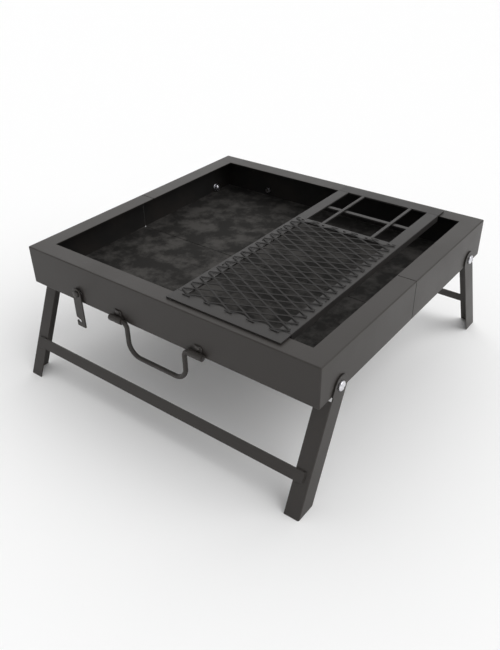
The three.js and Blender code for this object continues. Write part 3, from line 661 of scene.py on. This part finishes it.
def bead(start, end, radius):
    """A weld bead between two points: a rod of ripples with rounded ends."""
    start, end = Vector(start), Vector(end)
    length = (end - start).length
    steps = max(8, int(length / (RIPPLE / 4)))
    place = facing(end - start, start)
    bm = bmesh.new()
    rings = []
    for i in range(steps + 1):
        along = length * i / steps
        near_end = min(along, length - along) / radius
        swell = math.sqrt(max(0.02, 1 - max(0, 1 - near_end) ** 2))
        ripple = 1 + 0.10 * math.sin(math.tau * along / RIPPLE) + weld_hand.uniform(-0.04, 0.04)
        size = radius * swell * ripple
        rings.append([bm.verts.new(place @ spoke(size, k, BEAD_SIDES, along)) for k in range(BEAD_SIDES)])
    skin_rings(bm, rings)
    return bm


def beads(name, lines, radius, finish, body):
    """Several beads as one piece that rides on a body."""
    bm = bmesh.new()
    for start, end in lines:
        add(bm, bead(start, end, radius))
    return make_piece(name, bm, finish, body=body)


# %% Crossbars
UPRIGHT = Matrix((X_AXIS, Z_AXIS, -Y_AXIS)).transposed().to_4x4()
BAR_WIDTH, BAR_THICKNESS, BAR_DROP = 19 * MM, 3 * MM, 145 * MM
BAR_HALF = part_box("front_leg_crossbar")[1].x
BAR_FACE = FACE_OFFSET - 0.05 * MM
BAR_CORNER = 1.2 * MM
BEAD = 1.4 * MM


def rounded_rectangle(low_x, low_z, high_x, high_z, radius):
    """A rectangle's outline, anticlockwise, with round corners."""
    corners = ((high_x - radius, low_z + radius, -90), (high_x - radius, high_z - radius, 0),
               (low_x + radius, high_z - radius, 90), (low_x + radius, low_z + radius, 180))
    return [point for x, z, start in corners for point in arc((x, z), radius, start, start + 90, 4)]


for label in ("front", "rear"):
    low_z, high_z = -BAR_DROP - BAR_WIDTH / 2, -BAR_DROP + BAR_WIDTH / 2
    place = leg_place(label)
    lie = place @ Matrix.Translation((0, BAR_FACE, 0)) @ UPRIGHT
    outline = rounded_rectangle(-BAR_HALF, low_z, BAR_HALF, high_z, BAR_CORNER)
    crossbar = make_piece(f"{label}_crossbar", plate(outline, BAR_THICKNESS, lie), "paint",
                          [f"{label}_leg_crossbar"], edge=0.4 * MM)
    welds = []
    for sign in (-1, 1):
        inner, outer = sign * (LEG_INNER_X + 2 * MM), sign * (BAR_HALF - 3 * MM)
        end = sign * (BAR_HALF + 0.2 * MM)
        lines = [((inner, low_z), (outer, low_z)), ((inner, high_z), (outer, high_z)),
                 ((end, low_z + 1 * MM), (end, high_z + 0.5 * MM))]
        welds += [[place @ Vector((x, BAR_FACE - 0.6 * MM, z)) for x, z in line] for line in lines]
    beads(f"{label}_crossbar_welds", welds, BEAD, "paint", f"{label}_leg_frame")
    print(crossbar.name, "is", round(2 * BAR_HALF / MM), "mm long with", len(welds), "beads")

# %% [markdown]
# ## Pivot bolts, washers and nuts
# Each leg turns on an M8 machine screw: a slotted pan head outside, then the leg, the tray wall, a
# washer and a nut. Its head is the brightest thing outside, so it needs a true shape. A thread
# is made by a formula: the radius at any height depends on how far round the screw the point is.

# %% Screws, nuts and washers
M8_RADIUS, M6_RADIUS = 4 * MM, 3 * MM
M8_PITCH, M6_PITCH = 1.25 * MM, 1.0 * MM
THREAD_SIDES, HEAD_SIDES, SMALL_HEAD_SIDES = 24, 48, 40
DOME_STEPS = 8
SLOT_SHARE = 0.14


def threaded(place, radius, length, pitch):
    """A helical thread along local Z, closed at both ends."""
    rows = int(length / pitch * 6)
    depth = 0.58 * pitch
    bm = bmesh.new()
    rings = []
    for row in range(rows + 1):
        height = length * row / rows
        ring = []
        for k in range(THREAD_SIDES):
            turn = (height / pitch - k / THREAD_SIDES) % 1
            size = radius - depth * abs(2 * turn - 1) * min(1, (length - height) / pitch + 0.4)
            ring.append(bm.verts.new(place @ spoke(size, k, THREAD_SIDES, height)))
        rings.append(ring)
    skin_rings(bm, rings)
    return bm


def lathe_fit(node, direction):
    """For a CAD node turned about a direction: where it starts, how long it is, and its radius."""
    low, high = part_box(node)
    direction = Vector(direction)
    height = abs((high - low).dot(direction))
    radius = max(high[i] - low[i] for i in range(3) if not direction[i]) / 2
    return (low + high) / 2 - direction * height / 2, height, radius


def pan_head(radius, height):
    """A pan head's profile: a short straight rim and a low dome."""
    rim = 0.38 * height
    dome = [(radius * math.cos(a), rim + (height - rim) * math.sin(a))
            for a in [math.radians(90 * i / DOME_STEPS) for i in range(DOME_STEPS)]]
    return [(0, 0), (radius * 0.96, 0), (radius, 0.04 * height), *dome, (0, height)]


def screw(name, node, finish, direction, head_height, shank_radius, pitch, slotted, sides):
    """A screw as long as its CAD bolt: a pan head, outwards, and a thread back to its far end."""
    low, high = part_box(node)
    head_radius = lathe_fit(node, direction)[2]
    direction = Vector(direction)
    outer, inner = (high, low) if direction.dot(X_AXIS + Y_AXIS) > 0 else (low, high)
    axis = 0 if direction.x else 1
    seat = (low + high) / 2
    seat[axis] = outer[axis] - direction[axis] * head_height
    length = abs((seat - inner).dot(direction))
    place = facing(direction, seat)
    made = make_piece(name, turned(pan_head(head_radius, head_height), place, sides), finish, [node])
    if slotted:
        width, reach = SLOT_SHARE * head_radius, 1.1 * head_radius
        cut = bar((-width, -reach, 0.5 * head_height), (width, reach, 2 * head_height))
        turn = Matrix.Rotation(weld_hand.uniform(-0.9, 0.9), 4, "Z")
        bmesh.ops.transform(cut, matrix=place @ turn, verts=cut.verts)
        combine(made, loose("slot", cut), "DIFFERENCE")
    thread = threaded(facing(-direction, seat), shank_radius, length, pitch)
    combine(made, loose("thread", thread), "UNION")
    return made


def hex_nut(name, node, direction, bolt_radius):
    """A nut with both corners chamfered: a hexagonal bar and a turned blank in common."""
    start, height, corner = lathe_fit(node, direction)
    place = facing(direction, start)
    flat = corner * math.cos(math.pi / 6)
    blank = turned([(0, 0), (flat * 0.98, 0), (corner, 0.22 * height), (corner, 0.78 * height),
                    (flat * 0.98, height), (0, height)], place, HEAD_SIDES)
    made = make_piece(name, blank, "zinc", [node])
    hexagon = [(corner * math.cos(math.tau * k / 6), corner * math.sin(math.tau * k / 6)) for k in range(6)]
    hexagonal_bar = plate(hexagon, height * 1.2, place @ Matrix.Translation((0, 0, -0.1 * height)))
    combine(made, loose("hexagon", hexagonal_bar), "INTERSECT")
    below_nut, above_nut, bore_radius = -1 * MM, height + 1 * MM, bolt_radius * 1.02
    bore = [(0, below_nut), (bore_radius, below_nut), (bore_radius, above_nut), (0, above_nut)]
    combine(made, loose("bore", turned(bore, place)), "DIFFERENCE")
    return made


def flat_ring(name, node, direction, bore_radius):
    start, height, outer = lathe_fit(node, direction)
    soft = 0.15 * height
    profile = [(bore_radius, 0), (outer - soft, 0), (outer, soft), (outer, height - soft),
               (outer - soft, height), (bore_radius, height)]
    return make_piece(name, turned(profile, facing(direction, start)), "zinc", [node])


PIVOT_HEAD = 4.6 * MM
for label in ("front", "rear"):
    for side, sign in (("left", -1), ("right", 1)):
        direction = (sign, 0, 0)
        screw(f"{label}_{side}_pivot_screw", f"{label}_{side}_pivot_bolt", "zinc", direction,
              PIVOT_HEAD, M8_RADIUS, M8_PITCH, slotted=True, sides=HEAD_SIDES)
        flat_ring(f"{label}_{side}_pivot_ring", f"{label}_{side}_pivot_washer", direction, PIVOT_HOLE)
        hex_nut(f"{label}_{side}_pivot_hex_nut", f"{label}_{side}_pivot_nut", direction, M8_RADIUS)

# %% [markdown]
# ## Double-pin hinges
# The two halves fold bottom to bottom. Both floors would jam on a single pin, so each hinge has two
# pins, held apart by a link at either end. A leaf is rolled round its pin from one strip of sheet:
# the strip is drawn as a path, and its outline is that path offset to both sides.

# %% Strips that are rolled from sheet
def strip(path, thickness, width, place):
    """A strip of sheet that follows a path in local XY and is as wide as its stretch along local Z."""
    near, far = [], []
    for i, point in enumerate(path):
        before, after = path[max(i - 1, 0)], path[min(i + 1, len(path) - 1)]
        along = Vector((after[0] - before[0], after[1] - before[1])).normalized()
        normal = Vector((-along.y, along.x)) * thickness / 2
        near.append((point[0] + normal.x, point[1] + normal.y))
        far.append((point[0] - normal.x, point[1] - normal.y))
    return ribbon(near, far, width, place)


def ribbon(near, far, width, place):
    """Closes two matching lines into a solid of a given width."""
    bm = bmesh.new()
    rows = [[bm.verts.new(place @ Vector((*point, z))) for point in line]
            for z in (0, width) for line in (near, far)]
    near_low, far_low, near_high, far_high = rows
    for i in range(len(near) - 1):
        bm.faces.new((near_low[i], near_low[i + 1], far_low[i + 1], far_low[i]))
        bm.faces.new((near_high[i], far_high[i], far_high[i + 1], near_high[i + 1]))
        bm.faces.new((near_low[i], near_high[i], near_high[i + 1], near_low[i + 1]))
        bm.faces.new((far_low[i], far_low[i + 1], far_high[i + 1], far_high[i]))
    for end in (0, -1):
        bm.faces.new((near_low[end], far_low[end], far_high[end], near_high[end]))
    return bm


ACROSS_X = Matrix((Y_AXIS, Z_AXIS, X_AXIS)).transposed().to_4x4()
print("strips can be rolled")

# %% Hinges under the floor
LEAF_SHEET, HINGE_EDGE = 1.8 * MM, 0.25 * MM
PIN_RADIUS, PIN_HEAD = 2.5 * MM, 1.4 * MM
RIVET_SIDES = 28
LEAF_WELD = 12 * MM
for side in ("left", "right"):
    for row, outward in (("front", -1), ("rear", 1)):
        leaf_low, leaf_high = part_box(f"{side}_hinge_{row}_leaf")
        pin_low, pin_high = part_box(f"{side}_hinge_{row}_pin")
        pin = (pin_low + pin_high) / 2
        roll = (leaf_high.z - 0.5 * MM - LEAF_SHEET / 2 - pin.z) - 0.3 * MM
        edge_y = leaf_low.y if outward < 0 else leaf_high.y
        plate_z = leaf_high.z - LEAF_SHEET / 2
        curl = [(pin.y - outward * y, z) for y, z in arc((0, pin.z), roll, 90, -215, 26)]
        path = [(edge_y, plate_z), (pin.y + outward * 7 * MM, plate_z),
                (pin.y + outward * 4 * MM, plate_z - 0.25 * MM), *curl]
        place = Matrix.Translation((leaf_low.x, 0, 0)) @ ACROSS_X
        leaf = strip(path, LEAF_SHEET, leaf_high.x - leaf_low.x, place)
        make_piece(f"{side}_hinge_{row}_rolled_leaf", leaf, "paint", [f"{side}_hinge_{row}_leaf"],
                   edge=HINGE_EDGE)
        weld_z = leaf_high.z + 0.1 * MM
        lines = []
        for share in (0.04, 0.4, 0.76):
            start = leaf_low.x + share * (leaf_high.x - leaf_low.x)
            lines.append(((start, edge_y, weld_z), (start + LEAF_WELD, edge_y, weld_z)))
        beads(f"{side}_hinge_{row}_leaf_welds", lines, 1.3 * MM, "paint", f"{row}_half")
        start, length, head = lathe_fit(f"{side}_hinge_{row}_pin", X_AXIS)
        dome = [(head * math.cos(a), PIN_HEAD * math.sin(a)) for a in (0.0, 0.4, 0.8, 1.2)]
        near_head = [(r, PIN_HEAD - h) for r, h in reversed(dome)]
        far_head = [(r, length - PIN_HEAD + h) for r, h in dome]
        profile = [(0, 0), *near_head, (PIN_RADIUS, PIN_HEAD), (PIN_RADIUS, length - PIN_HEAD), *far_head,
                   (0, length)]
        make_piece(f"{side}_hinge_{row}_rivet_pin", turned(profile, facing(X_AXIS, start), RIVET_SIDES),
                   "zinc", [f"{side}_hinge_{row}_pin"])
    for which in ("inner", "outer"):
        low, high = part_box(f"{side}_hinge_{which}_link")
        radius = (high.z - low.z) / 2
        middle_z = (low.z + high.z) / 2
        outline = (arc((high.y - radius, middle_z), radius, -90, 90, 12)
                   + arc((low.y + radius, middle_z), radius, 90, 270, 12))
        place = Matrix.Translation((low.x, 0, 0)) @ ACROSS_X
        make_piece(f"{side}_hinge_{which}_link_plate", plate(outline, high.x - low.x, place), "black",
                   [f"{side}_hinge_{which}_link"], edge=HINGE_EDGE)

# %% [markdown]
# ## The carrying handle
# An 8 mm round rod is bent into a bail. Its two ears lie in sleeves at the foot of the front wall, so it can
# hang down while the pit stands and swing out to carry the folded pit like a case. A sleeve is a
# strip wrapped round the rod, with a narrower tab that goes up the wall to one rivet.

# %% Bend the bail
bail_low, bail_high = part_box("handle_bail")
ROD = (bail_high.y - bail_low.y) / 2
AXIS_Y = (bail_low.y + bail_high.y) / 2
AXIS_Z = bail_high.z - ROD
GRIP_Z = bail_low.z + ROD
HALF_SPAN, GRIP_BEND, EAR_BEND = 62 * MM, 24 * MM, 10 * MM


def bail_path():
    """One half of the bail in XZ, from the end of its ear to the middle of the grip, then the other."""
    half = [(bail_high.x, AXIS_Z), (HALF_SPAN + EAR_BEND + 0.2 * MM, AXIS_Z)]
    half += arc((HALF_SPAN + EAR_BEND, AXIS_Z - EAR_BEND), EAR_BEND, 90, 180, 12)
    half += arc((HALF_SPAN - GRIP_BEND, GRIP_Z + GRIP_BEND), GRIP_BEND, 0, -90, 18)
    other = [(-x, z) for x, z in reversed(half)]
    return [Vector((x, AXIS_Y, z)) for x, z in half + other]


make_piece("handle_rod", rod(bail_path(), ROD, 28), "paint", ["handle_bail"], edge=0.6 * MM)
print("rod", round(2 * ROD / MM, 1), "mm thick, grip", round((AXIS_Z - GRIP_Z) / MM, 1), "mm below its axis")

# %% Sleeves, tabs and rivets
TAB_WIDTH, TAB_CORNER = 18 * MM, 3 * MM


def rivet_piece(name, node, direction, head_height, inner_height):
    """A domed rivet along a direction: its dome is outside the wall and its flat head inside."""
    start, length, radius = lathe_fit(node, direction)
    shank = radius * 0.55
    dome = [(radius * math.cos(a), length - head_height + head_height * math.sin(a))
            for a in [math.radians(15 * i) for i in range(6)]]
    profile = [(0, 0), (radius * 0.9, 0), (radius, 0.3 * inner_height), (radius, inner_height),
               (shank, inner_height), (shank, length - head_height), *dome, (0, length)]
    return make_piece(name, turned(profile, facing(direction, start), RIVET_SIDES), "black", [node])


for side in ("left", "right"):
    low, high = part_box(f"handle_{side}_bracket")
    centre_x = (low.x + high.x) / 2
    sleeve_sheet = AXIS_Y - low.y - ROD - 0.3 * MM
    roll = AXIS_Y - low.y - sleeve_sheet / 2
    curl = arc((AXIS_Y, AXIS_Z), roll, 40, -292, 34)
    sleeve = strip(curl, sleeve_sheet, high.x - low.x, Matrix.Translation((low.x, 0, 0)) @ ACROSS_X)
    bracket = make_piece(f"handle_{side}_sleeve", sleeve, "paint", [f"handle_{side}_bracket"])
    tab_face = AXIS_Y + roll + sleeve_sheet / 2
    tab_left, tab_right = centre_x - TAB_WIDTH / 2, centre_x + TAB_WIDTH / 2
    outline = rounded_rectangle(tab_left, AXIS_Z, tab_right, high.z, TAB_CORNER)
    tab = plate(outline, sleeve_sheet, Matrix.Translation((0, tab_face, 0)) @ UPRIGHT)
    combine(bracket, loose("tab", tab), "UNION")
    rivet_piece(f"handle_{side}_domed_rivet", f"handle_{side}_rivet", (0, -1, 0), 1.8 * MM, 1.6 * MM)
    print(bracket.name, "is", round((high.x - low.x) / MM), "mm long")

# %% [markdown]
# ## The latch
# A flat hook turns on an M6 screw on the front half. When the pit is folded, the hook swings over
# and its slot catches the neck of a stud on the rear half. The hook is cut from plate, so it is one
# outline with a rounded slot and a nose that keeps the stud from slipping out.

# %% Cut the hook
hook_low, hook_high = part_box("latch_hook")
HOOK_HALF = (hook_high.x - hook_low.x) / 2
HOOK_X = (hook_low.x + hook_high.x) / 2
HOOK_PIVOT_Z = hook_high.z - HOOK_HALF
SLOT_WIDTH, SLOT_DEPTH, SLOT_DROP = 7 * MM, 11 * MM, 54.5 * MM
HOOK_HOLE = 3.3 * MM


def hook_outline():
    """The outline: down the left side, round the slot and the foot, and back over the top."""
    left, foot = -HOOK_HALF, hook_low.z - HOOK_PIVOT_Z
    slot_end = left + SLOT_DEPTH - SLOT_WIDTH / 2
    nose = 1.7 * MM
    corner = 1.2 * MM
    slot_floor = -SLOT_DROP - SLOT_WIDTH / 2
    points = [(left, 0), (left, -SLOT_DROP + SLOT_WIDTH / 2 + 2.4 * MM)]
    points += arc((slot_end, -SLOT_DROP), SLOT_WIDTH / 2, 90, -90, 14)
    points += [(left + 2.6 * nose, slot_floor)]
    points += arc((left + nose, slot_floor + 0.9 * nose), nose, 0, 180, 10)
    points += arc((left + corner, foot + corner), corner, 180, 270, 4)
    points += arc((-left - corner, foot + corner), corner, -90, 0, 4)
    points += arc((0, 0), HOOK_HALF, 0, 180, 24)[:-1]
    return [(HOOK_X + x, HOOK_PIVOT_Z + z) for x, z in points]


hook_place = Matrix.Translation((0, hook_high.y, 0)) @ UPRIGHT
hook_plate = plate(hook_outline(), hook_high.y - hook_low.y, hook_place)
hook = make_piece("latch_hook_plate", hook_plate, "paint", ["latch_hook"], edge=0.35 * MM)
combine(hook, drill(HOOK_HOLE, (HOOK_X, hook_high.y + 1 * MM, HOOK_PIVOT_Z), (0, -1, 0)), "DIFFERENCE")
print("hook", round(2 * HOOK_HALF / MM), "mm wide and", round((hook_high.z - hook_low.z) / MM), "mm long")

# %% Latch screw, spacer and catch stud
SMALL_HEAD = 3.8 * MM
screw("latch_pivot_screw", "latch_pivot_bolt", "black", (0, -1, 0),
      SMALL_HEAD, M6_RADIUS, M6_PITCH, slotted=False, sides=SMALL_HEAD_SIDES)
flat_ring("latch_spacer_ring", "latch_spacer", (0, -1, 0), HOOK_HOLE)
hex_nut("latch_pivot_hex_nut", "latch_pivot_nut", (0, 1, 0), M6_RADIUS)

low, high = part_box("catch_stud_bolt")
stud_x, stud_z = (low.x + high.x) / 2, (low.z + high.z) / 2
wall_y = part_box("rear_tray")[1].y
STUD_NECK, STUD_HEAD = 2.8 * MM, (high.x - low.x) / 2
STUD_COLLAR, STUD_HEAD_HEIGHT, STUD_EDGE = 1.2 * MM, 2 * MM, 0.5 * MM
outer = high.y - wall_y
neck_end = outer - STUD_HEAD_HEIGHT
profile = [(0, 0), (STUD_HEAD - STUD_EDGE, 0), (STUD_HEAD, STUD_EDGE), (STUD_HEAD, STUD_COLLAR),
           (STUD_NECK, STUD_COLLAR), (STUD_NECK, neck_end), (STUD_HEAD, neck_end),
           (STUD_HEAD, outer - STUD_EDGE), (STUD_HEAD - STUD_EDGE, outer), (0, outer)]
stud_place = facing((0, 1, 0), (stud_x, wall_y + 0.2 * MM, stud_z))
stud = make_piece("catch_stud", turned(profile, stud_place), "black", ["catch_stud_bolt"])
tail_start = wall_y + 0.5 * MM
tail_place = facing((0, -1, 0), (stud_x, tail_start, stud_z))
combine(stud, loose("tail", threaded(tail_place, STUD_NECK, tail_start - low.y, M6_PITCH)), "UNION")
hex_nut("catch_stud_hex_nut", "catch_stud_nut", (0, -1, 0), M6_RADIUS)
print("catch stud stands", round(outer / MM, 1), "mm out of the rear wall")

# %% [markdown]
# ## The cooking grate
# The grate is a frame of its own: a flat at each end, two rails with a flange turned down beside the
# bowl, a cross flat, and three bars for a kettle behind it. The panel in front is expanded metal: a
# sheet is slit in staggered rows and pulled open, so each strand zigzags, leans a little, and shares
# a knuckle with the next one. The loop below makes exactly that, one strand at a time.

# %% Flats, rails and bars
GRATE_FLAT = 3 * MM
RAIL_BEND = 1.2 * MM

for name in ("front_flat", "rear_flat", "cross_flat",
             "kettle_left_bar", "kettle_right_bar", "kettle_crossbar"):
    low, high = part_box(f"grate_{name}")
    make_piece(f"cooking_grate_{name}", bar(low, high), "grate", [f"grate_{name}"], edge=0.5 * MM)
for side, sign in (("left", -1), ("right", 1)):
    low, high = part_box(f"grate_{side}_rail")
    inner_x, outer_x = (high.x, low.x) if sign < 0 else (low.x, high.x)
    bend = [(outer_x - sign * RAIL_BEND * (1 - math.sin(a)), high.z - RAIL_BEND * (1 - math.cos(a)))
            for a in [math.radians(22.5 * i) for i in range(5)]]
    outline = [(inner_x, high.z), *bend, (outer_x, low.z), (outer_x - sign * GRATE_FLAT, low.z),
               (outer_x - sign * GRATE_FLAT, high.z - GRATE_FLAT), (inner_x, high.z - GRATE_FLAT)]
    rail = plate(outline, high.y - low.y, Matrix.Translation((0, high.y, 0)) @ UPRIGHT)
    make_piece(f"cooking_grate_{side}_rail", rail, "grate", [f"grate_{side}_rail"], edge=0.4 * MM)
print("grate frame is made")

# %% Expanded metal
mesh_low, mesh_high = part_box("grate_mesh")
STRAND_WIDTH, STRAND_SHEET = 2.6 * MM, 1.0 * MM
LONG_WAY, SHORT_WAY = 40 * MM, 21 * MM
KNUCKLE = 4.5 * MM
LEAN = math.radians(15)
ROW_PITCH = SHORT_WAY / 2
SWING = (ROW_PITCH - STRAND_WIDTH * math.cos(LEAN)) / 2


def strand(row_y, first_up, mid_z):
    """One zigzag strand across the panel; where it swings back it leans against the strand behind."""
    bm = bmesh.new()
    half_width, half_sheet = STRAND_WIDTH / 2, STRAND_SHEET / 2
    section = [(-half_width, -half_sheet), (half_width, -half_sheet), (half_width, half_sheet),
               (-half_width, half_sheet)]
    centre_x = (mesh_low.x + mesh_high.x) / 2
    count = int((mesh_high.x - mesh_low.x) / LONG_WAY) + 2
    rings = []
    for step in range(-count, count + 1):
        sign = 1 if (step + first_up) % 2 == 0 else -1
        for shift in (-KNUCKLE / 2, KNUCKLE / 2):
            x = centre_x + step * LONG_WAY / 2 + shift
            y = row_y + sign * SWING
            z = mid_z - sign * half_width * math.sin(LEAN)
            ring = [bm.verts.new((x, y + a * math.cos(LEAN) - b * math.sin(LEAN),
                                  z + a * math.sin(LEAN) + b * math.cos(LEAN))) for a, b in section]
            rings.append(ring)
    skin_rings(bm, rings)
    return bm


def expanded_panel():
    bm = bmesh.new()
    mid_y, mid_z = (mesh_low.y + mesh_high.y) / 2, (mesh_low.z + mesh_high.z) / 2
    rows = int((mesh_high.y - mesh_low.y) / ROW_PITCH / 2) + 2
    for row in range(-rows, rows + 1):
        add(bm, strand(mid_y + row * ROW_PITCH, row % 2, mid_z))
    bmesh.ops.recalc_face_normals(bm, faces=bm.faces)
    for corner, outward in ((mesh_low, -1), (mesh_high, 1)):
        shear(bm, corner, (outward, 0, 0))
        shear(bm, corner, (0, outward, 0))
    return bm


panel = make_piece("cooking_grate_expanded_metal", expanded_panel(), "seared", ["grate_mesh"],
                   edge=0.2 * MM, edge_limit=50)
print("expanded metal:", len(panel.data.polygons), "faces")

# %% Spot welds that hold the panel to its frame
SPOT_HALF, SPOT_INSET, SPOT_MARGIN = 2.5 * MM, 1.5 * MM, 12 * MM
spots = []
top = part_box("grate_front_flat")[1].z + 0.2 * MM
for y in (mesh_low.y + SPOT_INSET, mesh_high.y - SPOT_INSET):
    for step in range(5):
        x = mesh_low.x + SPOT_MARGIN + step * (mesh_high.x - mesh_low.x - 2 * SPOT_MARGIN) / 4
        spots.append(((x - SPOT_HALF, y, top), (x + SPOT_HALF, y, top)))
for x in (mesh_low.x + SPOT_INSET, mesh_high.x - SPOT_INSET):
    for step in range(1, 6):
        y = mesh_low.y + step * (mesh_high.y - mesh_low.y) / 6
        spots.append(((x, y - SPOT_HALF, top), (x, y + SPOT_HALF, top)))
beads("cooking_grate_panel_welds", spots, 1.3 * MM, "grate", "grate")

joints_of_frame = []
for node in ("grate_front_flat", "grate_rear_flat"):
    low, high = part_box(node)
    inner_y = high.y if node == "grate_front_flat" else low.y
    for side in ("left", "right"):
        rail_low, rail_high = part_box(f"grate_{side}_rail")
        joints_of_frame.append(((rail_low.x + 3 * MM, inner_y, low.z + 0.6 * MM),
                                (rail_high.x - 3 * MM, inner_y, low.z + 0.6 * MM)))
beads("cooking_grate_corner_welds", joints_of_frame, 0.9 * MM, "grate", "grate")
print("welds on the grate:", len(spots) + len(joints_of_frame))

# %% [markdown]
# ## Floor and light
# A pale floor and soft light show the dark paint best. Two very wide suns light everything evenly,
# so the floor stays white up to its far edge: the key comes from the right, because the end wall is
# the brightest wall, and the second one from behind grazes the rim and makes it shine. The world
# fills the rest with an even grey. Far away the floor sweeps up, so that no horizon line shows.

# %% Floor
FLOOR_REACH, SWEEP, FLOOR_WHITE = 20.0, 5.0, 0.93
edge_of_floor = arc((FLOOR_REACH, SWEEP), SWEEP, -90, 0, 16)
sweep = turned([(0, -1e-4), *edge_of_floor], Matrix.Identity(4), 96)
floor = link_mesh("studio_floor", sweep)
floor.data.shade_smooth()
floor_paint, _, floor_shader = new_material("studio_floor", specular=0.1)
floor_shader.inputs["Base Color"].default_value = (FLOOR_WHITE, FLOOR_WHITE, FLOOR_WHITE, 1)
floor_shader.inputs["Roughness"].default_value = 0.9
floor.data.materials.append(floor_paint)

# %% Lights
FILL = 0.55
world = bpy.data.worlds.new("studio")
world.use_nodes = True
world.node_tree.nodes["Background"].inputs["Color"].default_value = (1, 1, 1, 1)
world.node_tree.nodes["Background"].inputs["Strength"].default_value = FILL
bpy.context.scene.world = world


def wide_sun(name, direction, strength, angle):
    """A sun that shines from a direction, as wide as an angle in degrees."""
    data = bpy.data.lights.new(name, "SUN")
    data.energy = strength
    data.angle = math.radians(angle)
    light = bpy.data.objects.new(name, data)
    bpy.context.scene.collection.objects.link(light)
    light.rotation_euler = Vector(direction).to_track_quat("Z", "Y").to_euler()
    return light


wide_sun("key_sun", (0.70, 0.20, 0.70), 1.5, 60)
wide_sun("rear_sun", (-0.40, 0.60, 0.70), 0.8, 70)
bpy.context.scene.view_settings.view_transform = "Standard"
